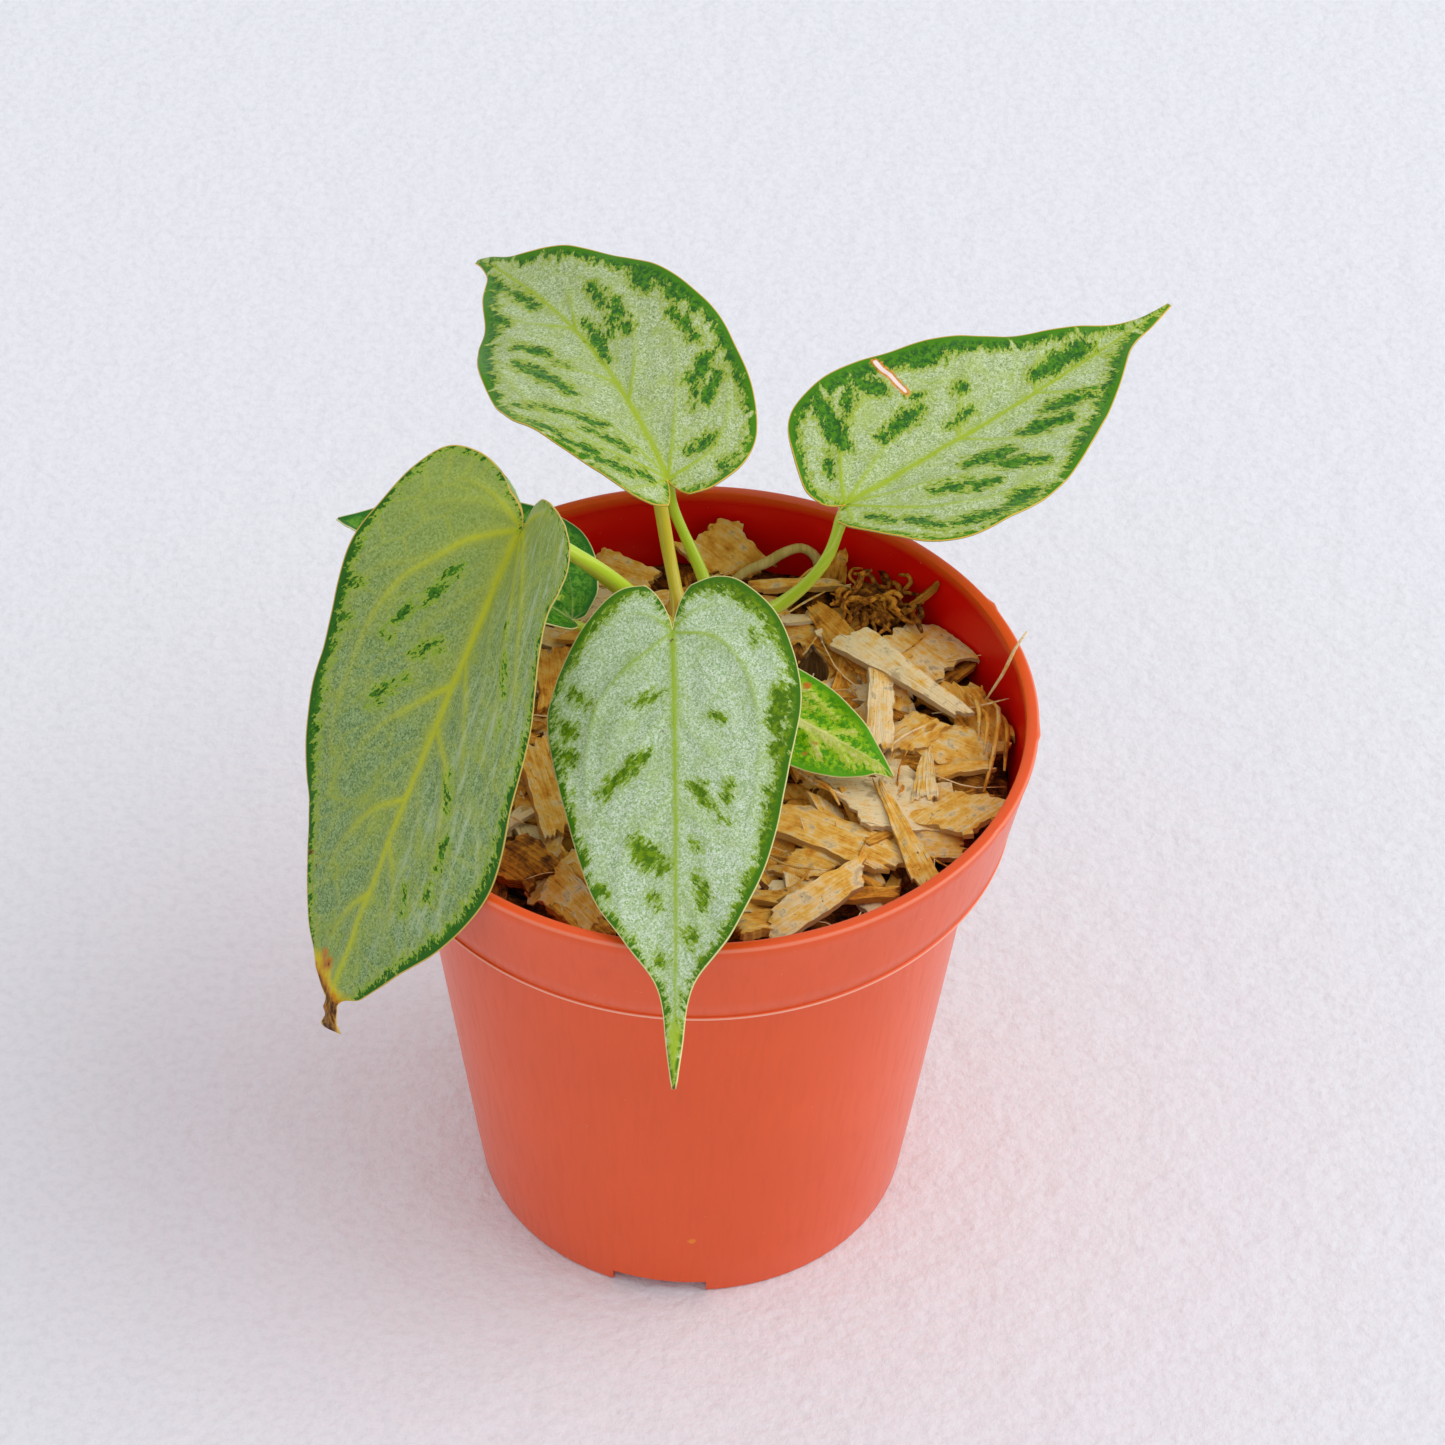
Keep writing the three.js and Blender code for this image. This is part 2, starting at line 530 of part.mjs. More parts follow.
// A cupped, pointed scale on a narrow foot, or the room that it needs
function scaleLeafGeometry(extra) {
  const { foot, length, width, thickness, lean, azimuth, cup, footRadius, footShare } = SCALE_LEAF;
  const { tipHalfWidth, shares, swellFrom, swellReach, swellPower } = SCALE_LEAF;
  const section = [[-1, -1], [0, -1], [1, -1], [1, 1], [0, 1], [-1, 1]];
  const rings = shares.map((share) => {
    const inHole = share <= footShare;
    const swell = Math.sin(Math.PI * Math.min(1, (share - swellFrom) / swellReach)) ** swellPower;
    const halfWidth = extra + (inHole ? footRadius : Math.max(tipHalfWidth, (width / 2) * swell));
    const halfDepth = extra + (inHole ? footRadius : thickness / 2);
    const bend = inHole ? 0 : cup * share;
    return section.map(([s, u]) => (
      vector([s * halfWidth, u * halfDepth + bend * (1 - s * s), share * length])));
  });
  const geometry = loft(rings);
  geometry.rotateX(radians(lean));
  geometry.rotateZ(radians(azimuth));
  return geometry.translate(...foot);
}

// Blades

// The share of a vein's bend, from the edge of the sinus to the ordinary side veins
function veinBend(row) {
  const share = THREE.MathUtils.smoothstep(row, 0, SINUS_REACH);
  return {
    along: mix(SINUS_BEND.along, VEIN_BEND.along, share),
    across: mix(SINUS_BEND.across, VEIN_BEND.across, share),
  };
}

// Surface of a blade: row runs from the sinus (0) to the tip (1), column from the left edge (-1)
// over the midrib (0) to the right edge (1)
function bladeSurface(leaf) {
  const outline = (points, side) => {
    const closed = [...points, [leaf.length, side * TIP_HALF_WIDTH]];
    return new THREE.SplineCurve(closed.map(([along, across]) => new THREE.Vector2(along, across)));
  };
  const margins = { left: outline(leaf.left, -1), right: outline(leaf.right, 1) };
  const [base, mid, tip] = [leaf.base, leaf.mid, leaf.tip].map(vector);

  // Place in the flat blade: a side vein bows from the midrib to the margin
  function flat(row, column) {
    const even = MIDRIB_EVEN_SHARE * row;
    const start = leaf.length * (even + (1 - MIDRIB_EVEN_SHARE) * row ** MIDRIB_POWER);
    const margin = (column < 0 ? margins.left : margins.right).getPointAt(row);
    const share = Math.abs(column);
    const bend = veinBend(row);
    const bowed = 2 * share * (1 - share);
    const ended = share * share;
    const along = start + (margin.x - start) * (bowed * bend.along + ended);
    const across = margin.y * (bowed * bend.across + ended);
    return [along, across];
  }

  // Place in space: the midrib is an arch, and both halves fold and curl about it
  function point(row, column) {
    const [along, across] = flat(row, column);
    const t = along / leaf.length;
    const inside = THREE.MathUtils.clamp(t, 0, 1);
    const spine = base.clone().multiplyScalar((1 - t) ** 2)
      .addScaledVector(mid, 2 * t * (1 - t))
      .addScaledVector(tip, t * t);
    const forward = mid.clone().sub(base).multiplyScalar(1 - t)
      .addScaledVector(tip.clone().sub(mid), t).normalize();
    const level = forward.clone().cross(new THREE.Vector3(0, 0, 1)).normalize();
    level.applyAxisAngle(forward, -radians(leaf.roll[0] + leaf.roll[1] * t));
    const up = level.clone().cross(forward);
    const fold = across < 0 ? leaf.foldLeft : leaf.foldRight;
    const curl = across < 0 ? leaf.curlLeft : leaf.curlRight;
    const angle = radians(mix(fold[0], fold[1], inside));
    const reach = Math.abs(across);
    const ripple = leaf.wave * column ** 4 * Math.sin(2 * Math.PI * leaf.waves * row);
    const lift = reach * Math.sin(angle) - (curl * reach * reach) / CURL_LENGTH + ripple;
    return spine.addScaledVector(level, across * Math.cos(angle)).addScaledVector(up, lift);
  }

  function normal(row, column) {
    const above = Math.max(0, row - SLOPE_STEP);
    const below = Math.min(1, row + SLOPE_STEP);
    const before = Math.max(-1, column - SLOPE_STEP);
    const after = Math.min(1, column + SLOPE_STEP);
    const down = point(below, column).sub(point(above, column));
    const sideways = point(row, after).sub(point(row, before));
    return sideways.cross(down).normalize();
  }

  return { point, normal };
}

// A thin closed blade: both faces carry the same triangles and are joined round the edge
function bladeGeometry(name) {
  const surface = bladeSurface(LEAVES[name]);
  const columns = 2 * BLADE_COLUMNS;
  const faces = [[], []];
  for (let i = 0; i <= BLADE_ROWS; i++) {
    for (let j = 0; j <= columns; j++) {
      const row = i / BLADE_ROWS;
      const column = (j - BLADE_COLUMNS) / BLADE_COLUMNS;
      const centre = surface.point(row, column);
      const normal = surface.normal(row, column);
      faces[0].push(centre.clone().addScaledVector(normal, BLADE_THICKNESS / 2));
      faces[1].push(centre.clone().addScaledVector(normal, -BLADE_THICKNESS / 2));
    }
  }
  const count = faces[0].length;
  const at = (i, j) => i * (columns + 1) + j;
  const index = [];
  for (let i = 0; i < BLADE_ROWS; i++) {
    for (let j = 0; j < columns; j++) {
      const [a, b, c, d] = [at(i, j), at(i, j + 1), at(i + 1, j + 1), at(i + 1, j)];
      index.push(a, b, c, a, c, d);
      index.push(count + a, count + c, count + b, count + a, count + d, count + c);
    }
  }
  const edge = [];
  for (let j = 0; j < columns; j++) edge.push(at(0, j));
  for (let i = 0; i < BLADE_ROWS; i++) edge.push(at(i, columns));
  for (let j = columns; j > 0; j--) edge.push(at(BLADE_ROWS, j));
  for (let i = BLADE_ROWS; i > 0; i--) edge.push(at(i, 0));
  edge.forEach((a, k) => {
    const b = edge[(k + 1) % edge.length];
    index.push(a, count + a, count + b, a, count + b, b);
  });
  const geometry = new THREE.BufferGeometry();
  const positions = faces.flat().flatMap((p) => p.toArray());
  geometry.setAttribute("position", new THREE.Float32BufferAttribute(positions, 3));
  geometry.setIndex(index);
  return geometry;
}

function piece(name, geometry, look) {
  const mesh = new THREE.Mesh(geometry, new THREE.MeshStandardMaterial(look));
  mesh.name = name;
  return mesh;
}

const plant = new THREE.Group();
plant.add(piece("pot", potGeometry(), COLOURS.pot));
plant.add(piece("husk_chip_fill", fillGeometry(), COLOURS.chips));
plant.add(piece("crown_stem", crownGeometry(), COLOURS.crown));
for (const name of Object.keys(STALKS)) {
  plant.add(piece(`petiole_${name}`, stalkGeometry(name), COLOURS.stalk));
}
for (const name of Object.keys(LEAVES)) {
  const look = name.startsWith("small") ? COLOURS.greenBlade : COLOURS.silverBlade;
  plant.add(piece(`blade_${name}`, bladeGeometry(name), look));
}
plant.add(piece("old_cut_petiole", oldStalkGeometry(), COLOURS.oldStalk));
plant.add(piece("dry_cataphyll", scaleLeafGeometry(0), COLOURS.dryScale));
plant.add(piece("surface_root", rootTube(0), COLOURS.root));

export default plant;
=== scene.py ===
import math
import random

import bpy
import numpy as np
from mathutils import Matrix, Vector, noise


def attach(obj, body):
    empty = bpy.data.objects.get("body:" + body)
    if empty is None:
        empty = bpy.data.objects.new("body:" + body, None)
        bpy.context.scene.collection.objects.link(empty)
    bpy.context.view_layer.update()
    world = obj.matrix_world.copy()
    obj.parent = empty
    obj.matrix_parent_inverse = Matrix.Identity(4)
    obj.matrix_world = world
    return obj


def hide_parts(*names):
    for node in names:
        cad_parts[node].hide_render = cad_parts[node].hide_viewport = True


bl_info = {
    "name": "Potted Silver Anthurium",
    "version": (1, 0, 0),
    "blender": (4, 5, 0),
    "location": "3D View > Sidebar > Anthurium",
    "description": "Builds a potted anthurium with silvery leaves, piece by piece",
    "category": "Add Mesh",
}

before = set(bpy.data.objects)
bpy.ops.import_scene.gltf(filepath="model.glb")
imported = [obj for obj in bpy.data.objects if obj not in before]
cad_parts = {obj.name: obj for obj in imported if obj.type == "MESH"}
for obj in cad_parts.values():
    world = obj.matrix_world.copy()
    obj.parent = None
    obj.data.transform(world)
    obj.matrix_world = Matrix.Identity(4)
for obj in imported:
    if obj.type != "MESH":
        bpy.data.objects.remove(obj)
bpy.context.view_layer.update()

MM = 0.001
SAME_PLACE = 1e-7

# Lengths below are in millimetres. The origin is the middle of the pot's underside, -Y the front.

# Pot
RIM_RADIUS = 60
POT_HEIGHT = 112
WALL = 1.2
STEP_HEIGHT = 91
COLLAR_FOOT_RADIUS = 56
SHOULDER_RADIUS = 51.5
BASE_RADIUS = 40.5
LIP_WIDTH = 2.4
LIP_DEPTH = 2.2
FOOT_RING = 1.8
DISC_RADIUS = 25
CHANNEL_HEIGHT = 3.4
CHANNEL_SLOPE = 2.5
FLOOR = 1.4
POT_SEGMENTS = 192
ORANGE_SPECK = (0.4, -42.5, 16.9)
# Burrs and dents of the lip, as (azimuth in degrees, how far out), and their half width
RIM_BURRS = ((28, 0.5), (-5, 0.45), (66, 0.3), (-30, -0.25))
BURR_WIDTH = 1.3
NOTCH = {"count": 3, "width": 17.5, "height": 3, "azimuth": -98}
DRAIN_SLOT = {"count": 6, "width": 3.6, "length": 8, "radius": 33}

# Crown, at the middle of the plant
CROWN = {"x": -2.5, "y": 24, "foot": 88, "shoulder": 104.5, "radius": 6}

# Blades: the rows run from the sinus to the tip, the columns from the left edge to the right edge
MIDRIB_EVEN_SHARE = 0.12
MIDRIB_POWER = 2.2
# How far a row bows along and across the blade, near the tip and at the sinus
VEIN_BEND = (0.35, 0.62)
SINUS_BEND = (0.7, 0.25)
SINUS_REACH = 0.25
TIP_HALF_WIDTH = 0.4
CURL_LENGTH = 60
BLADE_THICKNESS = 0.3
# The furthest distance that is kept, and the limit of what the materials are told
FAR = 9.0
FIELD_LIMIT = 4

LEAVES = {
    "front": {
        "base": (-4.6, -2.3, 132), "mid": (-2.9, -44.5, 123), "tip": (-3, -83, 103.7),
        "length": 86, "roll": (-8, -6), "fold": ((10, 8), (6, 9)), "curl": (0.4, 0.55),
        "wave": 0.5, "waves": 3,
        "left": [
            (-8.7, -3.5), (-9.6, -8.5), (-7, -13.4), (1, -19.3), (15.5, -22.2), (30, -19.9),
            (47.5, -15.7), (60.5, -9.6), (69, -3), (79, -1.2)],
        "right": [
            (-9.8, 4.6), (-9.2, 8.6), (-6, 12.8), (0, 17.4), (8.5, 21.2), (15, 22.5), (26, 21.2),
            (49, 15.3), (60, 8.9), (68.5, 3.2), (79, 1.4)],
        "marks": [
            (42.4, 6.6, 46.5, 2.6, 4.8), (31.5, 12.6, 28, 9.3, 3), (28.9, 9.3, 25.3, 5.3, 2.6),
            (19, -6.4, 19.8, -8.2, 1.9), (31.9, -3, 34.4, -5, 2.6), (35.2, -4.6, 36.8, -7, 1.2),
            (32.8, -9.3, 34.9, -9.2, 1.6), (37.8, -7.6, 39.7, -8.9, 1.6),
            (10.7, 17.8, 13.6, 15.3, 2.6), (16.8, 19.9, 19.2, 17.8, 2.4),
            (22, 19.5, 24.3, 17.7, 2.4), (14.6, 6.8, 13.5, 3.2, 2.6),
            (14.8, -18.5, 22.9, -17.9, 3.9), (49.2, -3.7, 54.4, -4.9, 2.8),
            (59, -2.5, 60.8, -3.3, 1.9), (62.7, 3, 64.8, 2.2, 1.7), (27.3, -17, 25.6, -19, 3.5),
            (34.3, -16.1, 37.8, -17.2, 3), (52.3, 4, 53.6, 3, 1.4), (42.7, -2.9, 43.8, -4.1, 1.2),
            (2.7, -14.1, 4.7, -14.8, 1.9), (49.3, 13.8, 51.2, 12.1, 2.6)],
    },
    "left": {
        "base": (-30.4, 3, 149.8), "mid": (-48, -30.7, 123.5), "tip": (-63.8, -52.5, 86),
        "length": 91.5, "roll": (0, -20), "fold": ((57, -13), (19, -10)), "curl": (0.75, -0.05),
        "wave": 0.6, "waves": 4,
        "left": [
            (-4.6, -1.5), (-5.1, -5.1), (-4.5, -9.3), (-3.7, -12.5), (-2.2, -17.8), (-0.4, -22.4),
            (2.3, -25.4), (6, -26.4), (9.6, -25.2), (14.2, -23), (22, -23.2), (32.5, -24.2),
            (45, -24.1), (54, -23.6), (62, -21.4), (71, -17), (78, -11.3), (85, -5.6)],
        "right": [
            (-5, 4.5), (-7.5, 7.2), (-9, 12), (-7.8, 17.5), (-2.4, 21.6), (5, 24.2), (14, 26.2),
            (28.5, 25.5), (40, 24.6), (56, 21.1), (75, 13.6), (85, 7.4)],
        "marks": [
            (12.7, 9, 9.9, 7.2, 1.7), (18.3, 10.7, 14, 9.1, 2.1), (22.9, 14.1, 19.1, 12.6, 1.5),
            (25.4, 15, 25.8, 14.1, 1.1), (20.2, 23.6, 18.2, 22.1, 1.3),
            (26, 24.8, 25.5, 22.6, 2.1), (26.8, 9.1, 23.9, 6.5, 1.9), (25.8, 5.7, 23, 5.2, 0.9),
            (36.5, 13.5, 33.2, 10.8, 1.7), (32.2, 10, 30.9, 8.6, 0.7), (38.2, 13.3, 36.9, 11.8, 1),
            (15.9, -10.1, 18.5, -11.6, 0.8), (21.9, -13.1, 27.6, -15.9, 0.8),
            (32.3, -16.7, 33.9, -16.8, 0.7), (43.1, -7.9, 49, -10.7, 1.1),
            (53.8, -12.1, 58, -12.4, 1.5), (62, -12.2, 64.2, -12.1, 1.3),
            (63.3, -7.2, 67.5, -8.6, 0.8)],
    },
    "back": {
        "base": (-6.2, 35.8, 133.4), "mid": (-19.4, 79, 136.2), "tip": (-44.6, 114, 122.4),
        "length": 88.8, "roll": (-2, 22), "fold": ((23, 5), (7.5, 17)), "curl": (0.35, 0.2),
        "wave": 0.7, "waves": 4,
        "left": [
            (-7, -2), (-7.6, -6), (-4, -11), (4.6, -15.6), (14, -20.8), (23.5, -24.4),
            (41.5, -22.3), (54, -17.9), (61.5, -13), (72, -7.9), (81, -2.2)],
        "right": [
            (-4.5, 3), (-4.4, 7), (-2.4, 11.4), (1.7, 15.9), (6.7, 19.2), (15, 21.7), (25, 23),
            (34.5, 24), (42.5, 22.5), (52.5, 19.8), (60, 16), (68, 11.7), (78.5, 4.6)],
        "marks": [
            (74.7, -2.9, 61.3, -2, 2.2), (65.6, -10.2, 58.9, -9, 2),
            (49.4, -11.7, 42.1, -7.9, 1.6), (39.7, -8.2, 36, -6.4, 0.9),
            (43.2, -14.5, 27.6, -9.7, 2.7), (27.4, -20.6, 15.6, -7.4, 1.3),
            (14.9, -11.5, 7.4, -5.3, 1.1), (21.7, -23.1, 13.4, -17.4, 1.6),
            (11.3, -17.4, 6.5, -11.8, 1.3), (5, -12, 1.4, -7, 1.8), (1, -5.6, -0.5, -3.9, 1.3),
            (55.9, 8.5, 49.6, 7.4, 2), (48.7, 9.6, 40.6, 7.3, 1.8), (49.1, 2.8, 35.5, 1.2, 2),
            (45.9, 6.9, 40.8, 4.9, 0.9), (26.1, 17.4, 21.7, 12.4, 2.2),
            (21.5, 17.3, 15.9, 12.7, 2.2), (20.1, 12.5, 15, 10.1, 0.9), (7.9, 11, 5.5, 6, 2.2),
            (2.8, 15.3, 0.4, 10.5, 1.3), (31.5, 16.9, 30.5, 17.6, 1.4),
            (38.8, 16.6, 33, 17.6, 1.8), (54.4, 17, 47.7, 16.3, 4), (47.1, 18.5, 41.7, 19.1, 1.8)],
    },
    "right": {
        "base": (25.6, 32.3, 131.2), "mid": (59.2, 61.8, 130.5), "tip": (87.9, 95.9, 127.7),
        "length": 89.2, "roll": (-3, -5), "fold": ((12, 11), (15, 10)), "curl": (0.05, 0.2),
        "wave": 0.5, "waves": 4,
        "left": [
            (-3.6, -2.4), (-4.4, -6), (-2.2, -11), (1, -17), (4.5, -21), (9, -23.2), (16, -24.4),
            (24.7, -24.3), (32, -22.8), (38.7, -21.1), (46, -17.9), (54, -13.5), (65, -8.3),
            (74, -3.6), (81.6, -1.5)],
        "right": [
            (-4.6, 3.4), (-4.4, 7), (-2.2, 12), (2, 18), (6.3, 21.4), (13, 23.6), (21.6, 24),
            (31.7, 22.6), (41.4, 19.3), (52, 14.6), (62.4, 9.3), (73, 3.6), (81.7, 1.7)],
        "marks": [
            (11.9, -19.9, 8.5, -10.8, 4.3), (18.8, -20, 14.2, -15.7, 1.7),
            (21.8, -21, 23.8, -16.9, 4.3), (31.6, -20, 39.8, -17.1, 4.3),
            (16.3, -8.1, 20.9, -9.5, 2.2), (21.3, -8.5, 27.4, -9.7, 2.9),
            (28, -12.1, 30.4, -11.4, 1.2), (36.3, -8.8, 38.5, -8.9, 1.9),
            (29.7, -3.4, 35.6, -3.9, 1.2), (52.1, -2.9, 66.6, -3.2, 3.4),
            (63.3, -1.7, 67.7, -2.5, 1.9), (46.4, 4.9, 56.4, 7, 2.9), (38.3, 7.2, 48.1, 9, 3.1),
            (24.2, 6.7, 32.8, 8.6, 2.9), (28, 10.6, 34.8, 15, 2.9), (13.8, 8.8, 20.5, 11.1, 2.4),
            (20, 12.9, 24.3, 13.7, 1.7), (0.2, 6.3, 2.5, 10.5, 1.9), (4.5, 12, 7.4, 17.1, 2.4),
            (9.9, 18.3, 18.7, 22.1, 2.2), (20.6, 20.8, 27.2, 20.5, 3.4),
            (5.2, -10.7, 2.3, -7, 1.2)],
    },
    "small_left": {
        "base": (-22.8, 19.2, 114.4), "mid": (-44.8, 31.8, 119), "tip": (-66.4, 44.5, 115.4),
        "length": 51, "roll": (0, 0), "fold": ((37, 34), (32, 30)), "curl": (0.2, 0.2),
        "wave": 0.3, "waves": 3,
        "left": [
            (-2.4, -3), (-2.2, -8), (3, -13.6), (10, -16.2), (19, -15.5), (30, -12), (38, -8.2),
            (45, -4.2)],
        "right": [
            (-1.8, 2), (-1.5, 6.1), (-0.5, 8.2), (2.6, 12.6), (6.8, 15.6), (12, 16.2), (19, 15.4),
            (30, 12.3), (38, 8.5), (45, 4.4)],
        "marks": [],
    },
    "small_right": {
        "base": (5, 6.8, 111), "mid": (20.8, -4.6, 111.4), "tip": (33.5, -9.4, 106.4),
        "length": 33.5, "roll": (-13, -13), "fold": ((3, 3), (3, 3)), "curl": (0.2, 0.2),
        "wave": 0.2, "waves": 2,
        "left": [
            (-2.8, -2.4), (-3, -5.6), (1, -8.2), (6, -8.9), (10, -8.8), (15.9, -8.1), (20.5, -6.8),
            (25.6, -5), (30.3, -2.3)],
        "right": [
            (-2.8, 2.4), (-3, 5.8), (2, 8.8), (9, 9.5), (18, 8.5), (24.3, 6.8), (29.5, 3.9),
            (31.6, 2.2)],
        "marks": [],
    },
}

# Side veins as (along, across) points from the midrib outwards. SIDE_VEINS are in shares of the
# blade's length and of its half width, for the halves that have no list of their own.
SIDE_VEINS = [
    [(0, 0), (0.035, 0.2), (0.1, 0.46), (0.17, 0.62), (0.25, 0.72), (0.35, 0.76), (0.48, 0.75),
     (0.6, 0.66)],
    [(0, 0), (0.09, 0.14), (0.2, 0.3), (0.33, 0.46), (0.42, 0.52)],
    [(0.32, 0), (0.37, 0.19), (0.43, 0.37), (0.49, 0.5), (0.54, 0.58)],
    [(0.55, 0), (0.6, 0.17), (0.66, 0.31), (0.72, 0.4)],
    [(0.74, 0), (0.78, 0.1), (0.84, 0.18)],
    [(0, 0), (-0.035, 0.26), (-0.045, 0.46), (-0.03, 0.62)],
]
OWN_VEINS = {
    ("left", 1): [
        [(0, 0), (3.2, 5), (5.7, 8.3), (9.9, 11.6), (14.8, 15.5), (20.4, 17.7), (27, 19),
         (33.2, 19.1), (43.5, 19.2), (56, 16)],
        [(0, 0), (-3.2, 6.3), (-4, 11.1), (-3.2, 14.7)],
        [(11.8, 1.9), (14.5, 4.1), (19, 7), (25.1, 11.4), (31.7, 13.4)],
        [(28.9, 0), (33.8, 4.6), (38.8, 9), (43.6, 12), (52, 14.5)],
        [(50.3, 0), (53.9, 5.4), (59, 8.5), (64.6, 10.7), (72, 11.5)],
        [(68, 0), (72, 3.4), (77, 5.2), (82, 5)],
        [(40.5, 0.6), (45, 4.4), (51, 7.6), (57, 9.4)],
        [(8, 10), (12, 15), (15, 20), (20, 22.5), (30, 22.8), (42, 21.8)],
        [(-1.2, 1.4), (-1.6, 8), (0.6, 13.6), (4, 18.6), (9, 21.6)],
        [(53.9, 5.4), (60, 5), (66, 7), (73, 7.6)],
    ],
    ("left", -1): [
        [(0, 0), (2.4, -4.6), (8.8, -10.5), (16.6, -15.3), (25.8, -18.2), (31.9, -19.6),
         (48, -19)],
        [(0, 0), (8, -6.5), (20, -12.4), (34, -15.5)],
        [(36.7, 0), (42.9, -7.2), (54.3, -10.8), (63.1, -12.1)],
        [(24, 0), (30, -5.4), (38, -9.6), (47, -12.4)],
        [(58, 0), (64, -4.4), (72, -7)],
        [(0, 0), (-2, -5), (-2.4, -10), (-1, -16)],
        [(12, -0.6), (20, -6), (30, -10.4), (42, -13.6), (56, -15.4)],
        [(46, -0.6), (53, -5.4), (61, -8.6), (70, -10.4)],
        [(2.4, -4.6), (12, -9), (24, -14), (38, -17.4), (54, -18)],
    ],
    ("back", 1): [
        [(22.2, 0), (31.5, 5), (41.4, 9.4), (48.4, 12)],
        [(47.3, 0), (57.4, 3.9), (63.3, 5.7)],
        [(0, 0), (2.4, 1.1), (15.6, 6.6), (28.9, 12.3), (38, 14.4)],
        [(0, 0), (2.8, 6.9), (6.2, 11.3), (14, 16.5), (25, 19)],
    ],
    ("front", -1): [
        [(0, 0), (1.1, -1), (3.3, -7.6), (9.6, -12.2), (18.1, -14.4), (30, -14.6), (40, -12.8)],
        [(18, -0.2), (24, -4.6), (31, -8.6), (38, -10.6)],
        [(34, -0.2), (40, -4.4), (47, -7.4)],
        [(50, -0.2), (55, -3), (61, -4.8)],
        [(0, 0), (-3.4, -4.6), (-3.8, -8.8), (-2, -12)],
    ],
    ("front", 1): [
        [(0, 0), (0.9, 0.2), (5.3, 5.5), (8.6, 9.5), (14, 13.4), (24, 15.6), (34, 15.4)],
        [(16, 0.2), (22, 5), (28, 8.6), (36, 10.8)],
        [(32, 0.2), (37.5, 4), (43, 8.6), (49, 9.8), (56, 8.6)],
        [(48, 0.2), (54, 3.2), (60, 4.6)],
        [(0, 0), (-3.4, 4.6), (-3.8, 8.8), (-2, 12)],
    ],
    ("small_right", -1): [
        [(18, 0), (21.4, -0.7), (24.6, -2.9)],
        [(5, 0), (10.8, -5.6), (15.1, -4.8), (19.6, -3.7), (24.4, -2.3)],
        [(5, 0), (12.4, -3.9), (16.5, -2.5), (19.7, -1.2)],
    ],
    ("small_right", 1): [
        [(12, 0), (17.8, 1.9), (20.7, 3.8), (25.3, 4.6)],
        [(22, 0), (25.5, 2.4), (29, 2.9)],
        [(3, 0), (9, 3.6), (16, 5.8), (23, 6)],
    ],
}

# Width of the dark band inside the edge, as (share of the edge from lobe to tip, millimetres)
BANDS = {
    ("front", -1): [
        (0, 2.6), (0.1, 3.8), (0.2, 2.8), (0.3, 2.2), (0.5, 2.9), (0.68, 2.2), (0.85, 0.9),
        (1, 0.4)],
    ("front", 1): [(0, 1.8), (0.15, 2.4), (0.3, 1.3), (0.55, 1.2), (0.8, 1), (1, 0.4)],
    ("left", -1): [(0, 0.3), (0.4, 0.6), (0.6, 1.9), (0.8, 2.1), (0.93, 1), (1, 0)],
    ("left", 1): [(0, 0.2), (0.2, 0.9), (0.4, 2), (0.62, 1.9), (0.8, 0.9), (1, 0)],
    ("back", -1): [
        (0, 1), (0.25, 1.2), (0.42, 1.8), (0.55, 3.2), (0.7, 3.4), (0.85, 2.6), (1, 1.2)],
    ("back", 1): [(0, 1.2), (0.2, 2.2), (0.4, 3.2), (0.6, 3.6), (0.8, 2.8), (1, 1.2)],
    ("right", -1): [
        (0, 1.2), (0.2, 2.4), (0.36, 4.2), (0.6, 3.6), (0.8, 2.2), (0.92, 0.8), (1, 0.6)],
    ("right", 1): [(0, 1), (0.3, 1), (0.44, 1.4), (0.56, 3.2), (0.8, 3.2), (0.93, 1.6), (1, 0.8)],
    ("small_left", -1): [(0, 2), (1, 1)],
    ("small_left", 1): [(0, 2), (1, 1)],
    ("small_right", -1): [(0, 2), (1, 1)],
    ("small_right", 1): [(0, 2), (1, 1)],
}

# Pale strokes on the small leaves, whose ground is green: start, end and width
PALE_STROKES = {
    "small_right": [
        (2, 0, 14, 0.2, 1.6), (14, 0.2, 24, 0.9, 2.6), (24, 0.9, 32, 1, 1.8),
        (17.6, 1, 20.7, 4.4, 1.5), (15, -4.9, 19.5, -3.9, 1), (20, -0.6, 24.2, -2.8, 1.1),
        (11, -5.6, 14, -5.2, 1.2), (24, 1.6, 27.5, 3.2, 1), (12.4, -3.7, 15, -3, 0.9),
    ],
    "small_left": [
        (4, 2.5, 12, 6, 1.2), (16, 4, 25, 8, 1.2), (6, -4, 16, -8, 1.2), (24, -3, 34, -6, 1),
    ],
}

